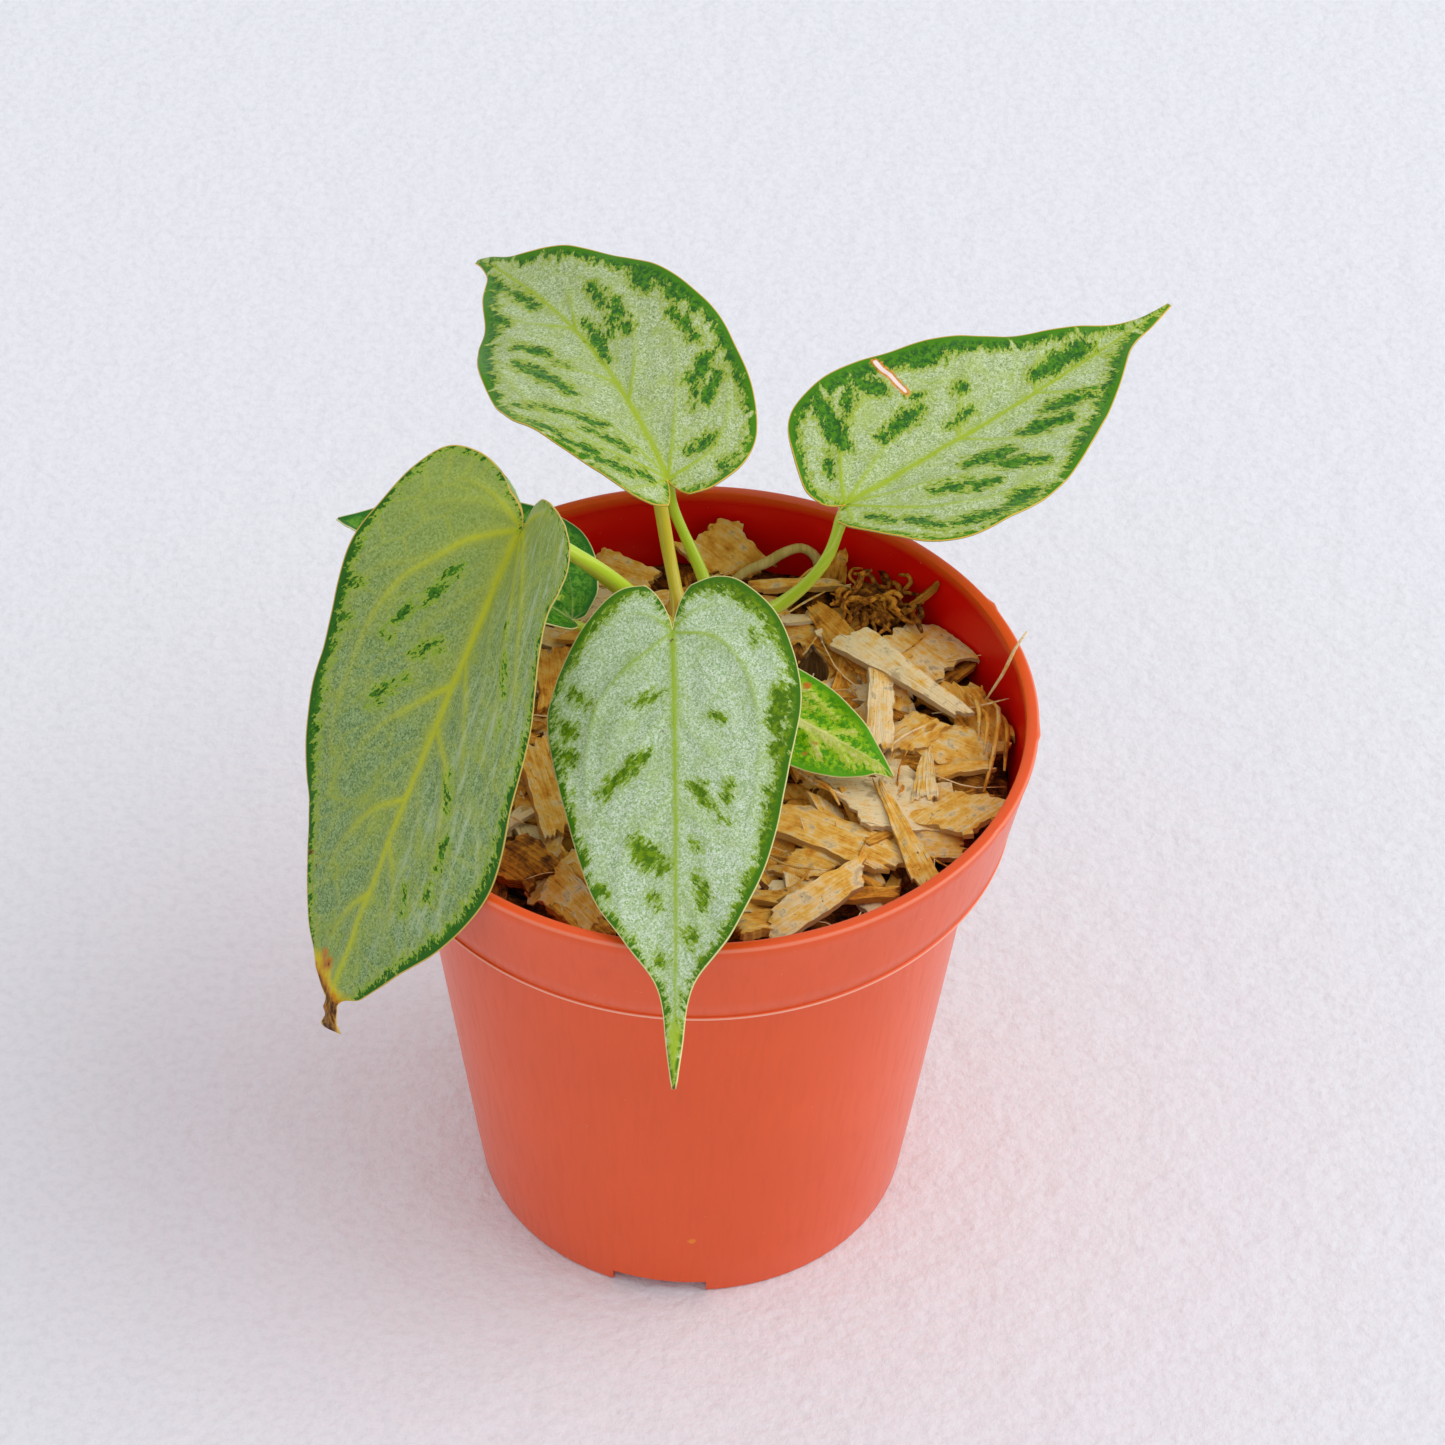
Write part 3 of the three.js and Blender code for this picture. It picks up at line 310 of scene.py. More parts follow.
# Dried tissue at the tip of the large left leaf: the inner edge of its halo, left to right, and
# the spots, as (along, across, radius)
HALO_EDGE = [(80.6, 14), (82.6, 9.7), (82.2, 7), (83.3, 2.7), (85.2, 0.1), (86.1, -2.6),
             (86.3, -5.6), (86.6, -12)]
BROWN_EDGE = [(82.6, 14), (84.4, 8.3), (85.3, 6), (86.2, 2.7), (86.9, -0.4), (87.4, -3.3),
              (87.2, -4.6), (88, -12)]
DRY_PATCH = [(81.7, 5.6, 0.8), (82.5, 4.2, 1), (83.2, 5, 0.9)]
RUST_SPOTS = {
    "left": [(66.7, 16.4, 0.6), (68.4, 14, 0.35), (77.3, 6.1, 0.4), (81.1, 9.8, 0.4)],
    "back": [(33.6, 6.4, 0.3), (46, -8.8, 0.3), (18, 3.4, 0.25)],
    "front": [(2.6, 0.1, 0.35), (20.6, 2.2, 0.25), (86, 0, 0.7)],
    "right": [(17.6, -5.2, 0.35)],
    "small_right": [(11.9, -6.4, 0.8), (19, 2.6, 0.45), (18.3, 5.2, 0.5), (34.2, 0.2, 0.9)],
    "small_left": [],
}
# Orange blush at the edge: start, end and width
EDGE_BLUSH = {"right": [(69, 6.4, 80, 2.2, 1.8), (80, 2.2, 87, 0.9, 1)],
              "front": [(54.6, 12.8, 55.4, 12.4, 1.6), (79, 1.6, 80.5, 1.4, 1.2)],
              "back": [(30, -24.6, 36, -24.2, 0.7)]}
SCAR = {"from": (28.1, -22.3), "to": (27.8, -14), "width": 0.9}

# Angle between the midrib and the way the patches lie, and how much wider they are drawn
VEIN_LIE = 38
MARK_SPREAD = {"back": 0.45, "right": 0.4}
STROKE_TAPER = 0.35
SINUS_BAND = 0.5

# The pale gaps in the edge bands: spacing, half width, slant, strengths to draw from and depth
GAP_SPACING = 7.3
GAP_WIDTH = 0.45
GAP_SLANT = 0.3
GAP_SHIFT = 0.37
GAP_STRENGTHS = (0.15, 0.4, 0.8, 1)
GAP_DEPTH = {"back": 2.6, "right": 2.6, "front": 1.2}

# Veins: width and strength at their start and end, as shares of the midrib's
RIB_WIDTHS = (1.35, 0.6)
RIB_STRENGTHS = (1, 0.65)
VEIN_WIDTHS = (0.8, 0.5)
VEIN_STRENGTHS = (0.85, 0.12)
BRANCH_STRENGTH = 0.4
VEIN_END = (0.97, 0.012)

# Relief of a blade: the ridge on a vein as (height, half width), the hollow beside it as (depth,
# distance, half width), and ripples as (size, height)
VEIN_RIDGE = (0.2, 1.5)
VEIN_HOLLOW = (0.25, 3.4, 1.8)
SURFACE_RIPPLES = ((7.0, 0.42), (2.6, 0.06))
EDGE_RIPPLE = (5.0, 0.3)
DRY_RIPPLE = (1.6, 0.9)
DRY_CURL = 0.45

# Half width of the dried neck of the large left leaf, by distance along the blade, and the bends
# of leaf tips: where they start, over what length, and the move at the end
DRY_NECK = ((85, 86.2, 87.4, 88.6, 89.8, 91.5), (4.6, 3, 1.5, 0.9, 1, 1.9))
TIP_BENDS = {"left": (86.5, 5, (1.5, -0.4, -1.9)), "small_right": (31.4, 2.1, (0.8, -1.7, -0.6)),
             "back": (84, 4.8, (0.6, -1.1, -0.4))}

# Stalks, from the crown's dome to the blade: azimuth and rise in degrees, points on the way
STALKS = {
    "front": {"azimuth": -92, "rise": 62, "radius": (1.7, 1.15), "via": [(-4.2, 9, 121)]},
    "left": {"azimuth": 178, "rise": 40, "radius": (2.1, 1.4),
             "via": [(-13.7, 20.4, 120.8), (-22.9, 12, 137)]},
    "back": {"azimuth": 50, "rise": 42, "radius": (1.5, 1), "via": [(0.4, 31.6, 114.5),
                                                                    (-4.9, 35.2, 127)]},
    "right": {"azimuth": 5, "rise": 28, "radius": (1.6, 1.05), "via": [(14.4, 26.4, 112.4),
                                                                       (22.2, 28, 121.4)]},
    "small_left": {"azimuth": 210, "rise": 14, "radius": (1.3, 0.9), "via": [(-16.5, 20.6, 109)]},
    "small_right": {"azimuth": -60, "rise": 24, "radius": (1.1, 0.8), "via": [(3.6, 11.6, 109.2)]},
}
# How far off the crown's dome a stalk's first two points are
STALK_LEADS = (-1.2, 3)
STALK_TAPER_SHARE = 0.62
KNEE = {"share": 0.93, "reach": 0.05, "swell": 0.14}
# Row of the blade that a stalk meets, and how far the stalk's upper edge goes into the blade
SEAT_ROW = 0.02
STALK_SINK = 0.06
OLD_STALK = {"azimuth": 112, "rise": 62, "via": [(-5.6, 31.5, 119)], "end": (-7.4, 34, 130),
             "radius": (2.1, 1.25), "sheath_share": 0.25}
SCALE_LEAF = {"foot": (20.4, 19, 95), "length": 13.4, "width": 6, "lean": 2, "azimuth": 12,
              "cup": 1.4}
ROOT_POINTS = [(4.4, 43.2, 95), (4.8, 43.8, 100), (8.1, 45.8, 102.8), (12.3, 47.4, 104),
               (15.6, 49, 105.2), (18.7, 50, 105.4), (21.2, 49.8, 103.6), (22.2, 48.8, 100.5),
               (22.4, 48.4, 95)]
ROOT_RADIUS = 0.9

# The larger chips: start, end, width at both ends, thickness, roll in degrees, tone from dark (0)
# over tan (0.5) to cream (1), and how ragged the ends are
CHIPS = [
    ((27, 26.5, 105), (47.4, 7.4, 104), (7.8, 2.4), 2.2, 8, 0.9, 0.15),
    ((21, 36, 103), (32, 20, 102), (4, 5.5), 2.2, 24, 0.4, 0.2),
    ((33, 21, 103.4), (32, 0, 102.6), (5, 5), 2.4, -12, 0.85, 0.3),
    ((38, 31, 101.6), (47, 21, 101.2), (15, 13), 1.8, -6, 0.72, 0.5),
    ((46, 17, 101.4), (53, 3, 101), (9, 9), 1.8, 8, 0.5, 0.4),
    ((35, 1, 101.4), (42, 8, 102), (9, 8), 1.8, -8, 0.62, 0.4),
    ((41, 3.5, 101.6), (52, -1, 101), (9, 9), 1.8, 8, 0.66, 0.4),
    ((42, -6, 101.6), (52, -4, 102), (2.6, 2.6), 1.6, 0, 0.6, 0.3),
    ((25, -13, 102.4), (42, -14, 101.8), (14, 13), 1.4, -4, 0.88, 0.25),
    ((32, -23, 100.6), (47, -23, 100.4), (7, 6), 1.8, 6, 0.68, 0.3),
    ((32, -10, 103.4), (40, -34, 103), (1.4, 5), 1.6, 4, 0.62, 0.3),
    ((40.5, -2, 103.2), (40, -13, 102.4), (2, 5), 1.6, 10, 0.72, 0.3),
    ((42, -20, 102.6), (51, -12, 102.4), (11, 11), 1.8, -10, 0.64, 0.4),
    ((14, -17, 102.2), (36, -29, 101.4), (10, 8), 2, -8, 0.62, 0.3),
    ((16, -27, 101.4), (23, -30, 101), (7, 7), 2, 10, 0.6, 0.6),
    ((13, -46, 103.2), (29, -32, 103.6), (6.5, 5), 2.4, 10, 0.7, 0.25),
    ((24, -36.5, 101.4), (35, -35, 101.4), (2.6, 2.6), 1.8, 0, 0.5, 0.3),
    ((7, -46, 103), (14, -43, 102), (6, 6), 2.4, -14, 0.55, 0.4),
    ((0, 53, 106), (10, 47.5, 101), (13, 8), 1.8, 16, 0.6, 0.5),
    ((24.5, 46, 100.5), (25.5, 48.5, 106.5), (5, 3), 1.6, 20, 0.45, 0.4),
    ((10, 41.5, 103), (26, 42.5, 103), (2.4, 2.4), 1.8, 0, 0.6, 0.3),
    ((38, 38, 101), (42, 37, 106.5), (8, 6), 1.8, -20, 0.35, 0.5),
    ((29, 41, 102.6), (36, 34, 103), (5, 5), 2.6, 18, 0.1, 0.9),
    ((-20, 47.5, 102), (-9, 43, 102), (8, 7), 2, 10, 0.6, 0.4),
    ((-30, -1, 102.6), (-24, -22, 102), (7, 6), 2, -14, 0.62, 0.3),
    ((-34, -26, 101.6), (-26, -33, 102), (9, 8), 3.2, 12, 0.2, 0.3),
    ((-25, -34, 102.2), (-17, -45, 102.2), (8, 6), 2, 16, 0.66, 0.3),
    ((-27, 24, 102), (-25, 10, 102), (8, 7), 2, -8, 0.5, 0.4),
    ((-23, -39, 101.6), (-16, -47, 101.6), (5, 5), 2, 0, 0.35, 0.4),
]
# Greatest height of a chip, room between the bed and the pot's wall, and the share of a chip's
# thickness that is kept once its ridges are added
BED_TOP_LIMIT = 108.6
BED_ROOM = 1.6
FLAKE_THICKNESS = 0.72
# Straws: points, radius and tone. The one that ends above the lip leans out over it
STRAWS = [
    ([(16.5, -6.5, 104), (21, -10.5, 103.6), (25.6, -13.6, 103.8)], 0.55, 0.75),
    ([(19, -9, 103.4), (22.6, -11.6, 104.4), (25, -15.2, 103)], 0.4, 0.6),
    ([(51.5, 11.6, 103.6), (54.3, 12.3, 109.4), (56.2, 13.2, 114.7), (58.2, 15.2, 117)], 0.4, 0.8),
    ([(52, 14, 101.5), (53.6, 8, 104.6), (52.4, -2, 103.4), (50.5, -10, 101.6)], 0.5, 0.55),
    ([(49.5, 12, 101.8), (51.5, 6, 105), (50.6, -3, 104)], 0.4, 0.5),
    ([(54, 10, 102), (55, 4, 104.4), (54.2, -6, 103)], 0.45, 0.4),
    ([(48, 15, 102), (50, 9, 104.6), (50, 2, 102.6)], 0.4, 0.65),
]
# The curly clump of fibre: number of threads, middle and scatter of its place, and tones
CLUMP = {"count": 46, "x": (31, 3.4), "y": (37, 2.8), "tones": (0.06, 0.12, 0.22, 0.3, 0.36)}
# Scattered chips: heights of the lowest and the highest, tones of both, and how far they spread
# The lower chips are darker: partly their own tone, partly painted shade deepening the gaps under
# the upper chips
SCATTER_HEIGHTS = (97.8, 100.9)
SCATTER_TONES = (0.34, 0.66)
SCATTER_RADII = (53.5, 53)
GOLDEN_ANGLE = math.pi * (3 - math.sqrt(5))

# Camera, solved for the photograph's frame: position in millimetres, angles in degrees
CAMERA = {"place": (0, -576.5, 654.2), "lens": 112, "sensor": 36, "down": 43.455, "turn": 0.43,
          "tilt": 1.2}


def rgb(text):
    """A colour as people write it (#rrggbb), turned into linear light"""
    shares = [int(text[i:i + 2], 16) / 255 for i in (1, 3, 5)]
    linear = [v / 12.92 if v <= 0.04045 else ((v + 0.055) / 1.055) ** 2.4 for v in shares]
    return (*linear, 1.0)


# ------------------------------------------------------------------------------- mesh helpers


def mix(a, b, share):
    """From a (share 0) to b (share 1)"""
    return a + (b - a) * share


def smooth(values):
    """0 below 0 and 1 above 1, with a soft start and end between"""
    inside = np.clip(values, 0, 1)
    return inside * inside * (3 - 2 * inside)


def primitive(add, **options):
    """Adds one primitive, the only thing selected, and returns it"""
    bpy.ops.object.select_all(action="DESELECT")
    add(**options)
    return bpy.context.object


def only(obj):
    """Selects one object and makes it active"""
    bpy.ops.object.select_all(action="DESELECT")
    obj.select_set(True)
    bpy.context.view_layer.objects.active = obj


def settle(obj):
    """Puts a piece's place, turn and size into its mesh"""
    only(obj)
    bpy.ops.object.transform_apply(location=True, rotation=True, scale=True)


def finish_modifier(obj, kind, **settings):
    """Adds a modifier and applies it"""
    modifier = obj.modifiers.new(kind.title(), kind)
    for name, value in settings.items():
        setattr(modifier, name, value)
    only(obj)
    bpy.ops.object.modifier_apply(modifier=modifier.name)


def join(objs):
    only(objs[0])
    for obj in objs:
        obj.select_set(True)
    bpy.ops.object.join()
    return bpy.context.object


def points_of(mesh):
    values = np.empty(len(mesh.vertices) * 3)
    mesh.vertices.foreach_get("co", values)
    return values.reshape(-1, 3)


def move_points(mesh, points):
    mesh.vertices.foreach_set("co", np.asarray(points, dtype=float).ravel())
    mesh.update()


def spread(points, factors):
    """Moves points away from the upright axis or towards it, each by its own factor"""
    points[:, :2] *= np.asarray(factors)[:, None]


def note(mesh, name, *values):
    """Keeps a number, or three of them as a vector, with each vertex, for the material"""
    kind, field = ("FLOAT_VECTOR", "vector") if len(values) == 3 else ("FLOAT", "value")
    table = np.empty((len(mesh.vertices), len(values)))
    for column, value in enumerate(values):
        table[:, column] = value
    mesh.attributes.new(name, kind, "POINT").data.foreach_set(field, table.ravel())


def ripple(points, scale, seed=0.0):
    """Smooth noise from -1 to 1 at each point, with features about as large as the scale"""
    return np.array([noise.noise(Vector((p[0] / scale + seed, p[1] / scale - seed, p[2] / scale)))
                     for p in points])


def hand_in(obj, name, material, slot, *nodes):
    """Names a finished piece and enters it in the frame, in place of its CAD nodes"""
    obj.name = name
    obj.data.name = name
    obj.data.materials.clear()
    obj.data.materials.append(material)
    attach(obj, "root")
    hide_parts(*nodes)
    return obj


def round_off(obj, degrees=40):
    only(obj)
    bpy.ops.object.shade_smooth_by_angle(angle=math.radians(degrees))


def select_vertices(mesh, chosen):
    """Selects vertices by their place. Called in object mode"""
    for parts in (mesh.polygons, mesh.edges):
        parts.foreach_set("select", np.zeros(len(parts), dtype=bool))
    mesh.vertices.foreach_set("select", chosen)


def close_ring():
    """Closes the selected ring of edges with a fan of triangles"""
    bpy.ops.mesh.edge_face_add()
    bpy.ops.mesh.poke()


def point_outwards():
    bpy.ops.mesh.select_all(action="SELECT")
    bpy.ops.mesh.normals_make_consistent(inside=False)
    bpy.ops.object.mode_set(mode="OBJECT")


def turned(profile, segments):
    """A turned body from (radius, height) points, pulled up ring by ring from a circle"""
    first_radius, first_height = profile[0]
    obj = primitive(bpy.ops.mesh.primitive_circle_add, vertices=segments, radius=first_radius * MM,
                    location=(0, 0, first_height * MM), fill_type="NOTHING")
    settle(obj)
    bpy.ops.object.mode_set(mode="EDIT")
    bpy.ops.mesh.select_all(action="SELECT")
    for (radius, height), (next_radius, next_height) in zip(profile, profile[1:]):
        bpy.ops.mesh.extrude_region_move(
            TRANSFORM_OT_translate={"value": (0, 0, (next_height - height) * MM)})
        share = next_radius / radius
        bpy.ops.transform.resize(value=(share, share, 1), center_override=(0, 0, next_height * MM))
    close_ring()
    bpy.ops.object.mode_set(mode="OBJECT")
    points = points_of(obj.data)
    at_height = np.abs(points[:, 2] - first_height * MM) < SAME_PLACE
    at_radius = np.abs(np.hypot(points[:, 0], points[:, 1]) - first_radius * MM) < 10 * SAME_PLACE
    select_vertices(obj.data, at_height & at_radius)
    bpy.ops.object.mode_set(mode="EDIT")
    close_ring()
    point_outwards()
    return obj


# ------------------------------------------------------------------------------------- curves


def run_lengths(path):
    """Distance along a path at each of its points"""
    return np.concatenate([[0], np.cumsum(np.linalg.norm(np.diff(path, axis=0), axis=1))])


def spline_point(points, share):
    """Place on a uniform smooth curve through flat points, as the blades' edges are drawn"""
    points = np.asarray(points, dtype=float)
    last = len(points) - 1
    place = last * np.asarray(share, dtype=float)
    index = np.minimum(np.floor(place).astype(int), last)
    weight = (place - index)[:, None]
    p0, p1, p2, p3 = (points[np.clip(index + step, 0, last)] for step in (-1, 0, 1, 2))
    v0, v1 = (p2 - p0) * 0.5, (p3 - p1) * 0.5
    return ((2 * p1 - 2 * p2 + v0 + v1) * weight ** 3
            + (-3 * p1 + 3 * p2 - 2 * v0 - v1) * weight ** 2 + v0 * weight + p1)


def stalk_point(points, share):
    """Place on a smooth curve through points in space, with no loops however they are spaced"""
    points = np.asarray(points, dtype=float)
    count = len(points)
    out = []
    for value in np.atleast_1d(share):
        place = (count - 1) * float(value)
        index = min(int(place), count - 2)
        weight = place - index
        p1, p2 = points[index], points[index + 1]
        p0 = points[index - 1] if index > 0 else 2 * points[0] - points[1]
        p3 = points[index + 2] if index + 2 < count else 2 * points[-1] - points[-2]
        d0, d1, d2 = [max(math.sqrt(np.linalg.norm(b - a)), 1e-4)
                      for a, b in ((p0, p1), (p1, p2), (p2, p3))]
        t1 = ((p1 - p0) / d0 - (p2 - p0) / (d0 + d1) + (p2 - p1) / d1) * d1
        t2 = ((p2 - p1) / d1 - (p3 - p1) / (d1 + d2) + (p3 - p2) / d2) * d1
        out.append(p1 + t1 * weight + (-3 * p1 + 3 * p2 - 2 * t1 - t2) * weight ** 2
                   + (2 * p1 - 2 * p2 + t1 + t2) * weight ** 3)
    return np.array(out)


def evenly(curve, points, shares, divisions=200):
    """Places on a curve through the points, at even shares of its length"""
    steps = np.linspace(0, 1, divisions + 1)
    lengths = run_lengths(curve(points, steps))
    return curve(points, np.interp(np.asarray(shares) * lengths[-1], lengths, steps))


def smooth_path(points, count):
    """Evenly spaced places on the curve through points in space"""
    return evenly(stalk_point, points, np.linspace(0, 1, count))


def tube(name, path, radii, sides=2):
    """A round closed stem along a path in millimetres, made as a bevelled curve"""
    data = bpy.data.curves.new(name, "CURVE")
    data.dimensions = "3D"
    data.bevel_depth = MM
    data.bevel_resolution = sides
    data.use_fill_caps = True
    spline = data.splines.new("POLY")
    spline.points.add(len(path) - 1)
    flat = np.column_stack([np.asarray(path) * MM, np.ones(len(path))])
    spline.points.foreach_set("co", flat.ravel())
    spline.points.foreach_set("radius", np.asarray(radii, dtype=float))
    obj = bpy.data.objects.new(name, data)
    bpy.context.collection.objects.link(obj)
    only(obj)
    bpy.ops.object.convert(target="MESH")
    obj = bpy.context.object
    bpy.ops.object.mode_set(mode="EDIT")
    bpy.ops.mesh.select_all(action="SELECT")
    bpy.ops.mesh.remove_doubles(threshold=SAME_PLACE)
    point_outwards()
    return obj


def nearest_on(path, points):
    """Share of the path and distance to it, for each point"""
    path = np.asarray(path, dtype=float)
    best = np.full(len(points), 1e9)
    share = np.zeros(len(points))
    lengths = run_lengths(path)
    for start, end, reached in zip(path, path[1:], lengths):
        run = end - start
        size = float(run @ run)
        if size == 0:
            continue
        t = np.clip(((points - start) @ run) / size, 0, 1)
        distance = np.linalg.norm(points - (start + t[:, None] * run), axis=1)
        closer = distance < best
        best[closer] = distance[closer]
        share[closer] = ((reached + t * math.sqrt(size)) / lengths[-1])[closer]
    return share, best


# ------------------------------------------------------------------------------------- blades


def unit(vectors):
    return vectors / np.linalg.norm(vectors, axis=-1, keepdims=True)


class Blade:
    """The surface of one blade, from the same outline, midrib and folds as its solid"""

    def __init__(self, name):
        self.name = name
        self.leaf = LEAVES[name]
        self.length = self.leaf["length"]
        self.margins = {side: [*self.leaf[key], (self.length, side * TIP_HALF_WIDTH)]
                        for side, key in ((-1, "left"), (1, "right"))}

    def margin(self, side, rows):
        """Places on the left (-1) or right (1) edge, from the lobe to the tip"""
        return evenly(spline_point, self.margins[side], rows)

    def flat(self, rows, columns):
        """Place in the flat blade: a side vein bows from the midrib to the edge"""
        start = self.length * (MIDRIB_EVEN_SHARE * rows
                               + (1 - MIDRIB_EVEN_SHARE) * rows ** MIDRIB_POWER)
        left, right = self.margin(-1, rows), self.margin(1, rows)
        edge = np.where((columns < 0)[:, None], left, right)
        share = np.abs(columns)
        reach = smooth(rows / SINUS_REACH)
        along_bend, across_bend = (mix(*ends, reach) for ends in zip(SINUS_BEND, VEIN_BEND))
        bowed, ended = 2 * share * (1 - share), share * share
        along = start + (edge[:, 0] - start) * (bowed * along_bend + ended)
        across = edge[:, 1] * (bowed * across_bend + ended)
        return along, across

    def place(self, along, across, rows, columns):
        """Place in space: the midrib is an arch, and both halves fold and curl about it"""
        leaf = self.leaf
        base, mid, tip = (np.array(leaf[key], dtype=float) for key in ("base", "mid", "tip"))
        t = (along / self.length)[:, None]
        spine = base * (1 - t) ** 2 + mid * 2 * t * (1 - t) + tip * t * t
        forward = unit((mid - base) * (1 - t) + (tip - mid) * t)
        level = unit(np.cross(forward, (0, 0, 1)))
        turn = -np.radians(leaf["roll"][0] + leaf["roll"][1] * t)
        level = level * np.cos(turn) + np.cross(forward, level) * np.sin(turn)
        up = np.cross(level, forward)
        inside = np.clip(along / self.length, 0, 1)
        angle = np.radians(np.where(across < 0, *(mix(*fold, inside) for fold in leaf["fold"])))
        curl = np.where(across < 0, *leaf["curl"])
        reach = np.abs(across)
        wave = leaf["wave"] * columns ** 4 * np.sin(2 * math.pi * leaf["waves"] * rows)
        lift = reach * np.sin(angle) - curl * reach * reach / CURL_LENGTH + wave
        return spine + level * (across * np.cos(angle))[:, None] + up * lift[:, None]

    def surface(self, rows, columns):
        along, across = self.flat(rows, columns)
        return self.place(along, across, rows, columns)

    def normal(self, rows, columns, step=0.01):
        down = (self.surface(np.minimum(1, rows + step), columns)
                - self.surface(np.maximum(0, rows - step), columns))
        sideways = (self.surface(rows, np.minimum(1, columns + step))
                    - self.surface(rows, np.maximum(-1, columns - step)))
        return unit(np.cross(sideways, down))

    def seat(self):
        """Where the stalk meets the blade, and the upper side's normal there"""
        row, column = np.array([SEAT_ROW]), np.array([0.0])
        return self.surface(row, column)[0], self.normal(row, column)[0]

    def veins(self, side):
        """Side veins of one half as lists of (along, across)"""
        if (self.name, side) in OWN_VEINS:
            return OWN_VEINS[self.name, side]
        half = max(abs(across) for _, across in self.margins[side])
        return [[(a * self.length, side * b * half) for a, b in vein] for vein in SIDE_VEINS]


def soft_line(distance):
    """A narrow line with a soft glow on both sides"""
    return 0.68 * np.exp(-distance ** 2) + 0.32 * np.exp(-(distance / 3.2) ** 2)


def vein_strength(blade, flat, width):
    """Strength (0 to 1) of the vein at each point, and the distance to the nearest vein"""
    share = np.clip(flat[:, 0] / blade.length, 0, 1)
    rib = np.where(flat[:, 0] < 0, np.hypot(flat[:, 0], flat[:, 1]), np.abs(flat[:, 1]))
    strength = soft_line(rib / (width * mix(*RIB_WIDTHS, share))) * mix(*RIB_STRENGTHS, share)
    nearest = np.minimum(rib, FAR)
    for vein in (vein for side in (-1, 1) for vein in blade.veins(side)):
        run, distance = nearest_on(spline_point(vein, np.linspace(0, 1, 24)), flat)
        main = 1 if vein[0][1] == 0 else BRANCH_STRENGTH
        fade = main * mix(*VEIN_STRENGTHS, run ** 0.8)
        fade = fade * np.exp(-((np.maximum(run, VEIN_END[0]) - VEIN_END[0]) / VEIN_END[1]) ** 2)
        line = soft_line(distance / (width * mix(*VEIN_WIDTHS, run)))
        strength = np.maximum(strength, line * fade)
        nearest = np.minimum(nearest, distance + 2 * run)
    return strength, nearest


def stroke_field(flat, strokes):
    """Millimetres inside the nearest stroke; below zero outside"""
    field = np.full(len(flat), -FAR)
    for start_along, start_across, end_along, end_across, width in strokes:
        run, distance = nearest_on([(start_along, start_across), (end_along, end_across)], flat)
        taper = 1 - STROKE_TAPER * np.abs(2 * run - 1)
        field = np.maximum(field, width / 2 * taper - distance)
    return field


def spot_field(flat, spots):
    """Millimetres inside the nearest round spot; below zero outside"""
    field = np.full(len(flat), -FAR)
    for along, across, radius in spots:
        field = np.maximum(field, radius - np.hypot(flat[:, 0] - along, flat[:, 1] - across))
    return field


def polyline_side(flat, line):
    """Along-distance past a line that crosses the blade: above zero towards the tip"""
    line = np.array(sorted(line, key=lambda p: p[1]))
    return flat[:, 0] - np.interp(flat[:, 1], line[:, 1], line[:, 0])


def vein_gaps(flat, seed):
    """Strength (0 to 1) of the silver veins that cross the dark band at the edge"""
    along, across = flat.T
    rng = random.Random(int(seed))
    place = (along - GAP_SLANT * np.abs(across)) / GAP_SPACING + GAP_SHIFT * (across > 0)
    nearest = np.round(place)
    strengths = {value: rng.choice(GAP_STRENGTHS) for value in sorted(set(nearest))}
    strength = np.array([strengths[value] for value in nearest])
    return strength * np.exp(-((place - nearest) * GAP_SPACING / GAP_WIDTH) ** 2)


def edge_fields(blade, flat):
    """Distance to the blade's edge, and millimetres inside the dark band along it"""
    distance = np.full(len(flat), FAR)
    band = np.zeros(len(flat))
    for side in (-1, 1):
        run, gap = nearest_on(blade.margin(side, np.linspace(0, 1, 160)), flat)
        widths = np.array(BANDS[blade.name, side], dtype=float)
        band = np.where(gap < distance, np.interp(run, widths[:, 0], widths[:, 1]), band)
        distance = np.minimum(distance, gap)
    sinus = np.column_stack(blade.flat(np.zeros(41), np.linspace(-1, 1, 41)))
    _, sinus_gap = nearest_on(sinus, flat)
    return np.minimum(distance, sinus_gap), np.maximum(band - distance, SINUS_BAND - sinus_gap)


def green_field(blade, flat, band, seed):
    """Millimetres inside the nearest green patch or band; below zero on the silver ground"""
    name = blade.name
    if name in PALE_STROKES:
        return -stroke_field(flat, PALE_STROKES[name])
    band = band - vein_gaps(flat, seed) * GAP_DEPTH.get(name, 0)
    return np.maximum(stroke_field(flat, blade.leaf["marks"]) + MARK_SPREAD.get(name, 0), band)


def blade_relief(pattern, column, edge, vein_distance, seed):
    """Height of the ridges on the veins, the hollows between them and the soft ripples"""
    (ridge, ridge_width), (hollow, place, hollow_width) = VEIN_RIDGE, VEIN_HOLLOW
    relief = (ridge * np.exp(-(vein_distance / ridge_width) ** 2)
              - hollow * np.exp(-((vein_distance - place) / hollow_width) ** 2))
    relief *= smooth(edge / 3)
    rough = sum(ripple(pattern, size, seed) * height for size, height in SURFACE_RIPPLES)
    lift = relief + rough * smooth(edge / 4 + 0.25)
    size, height = EDGE_RIPPLE
    return lift + height * np.abs(column) ** 6 * ripple(pattern, size, seed + 9)


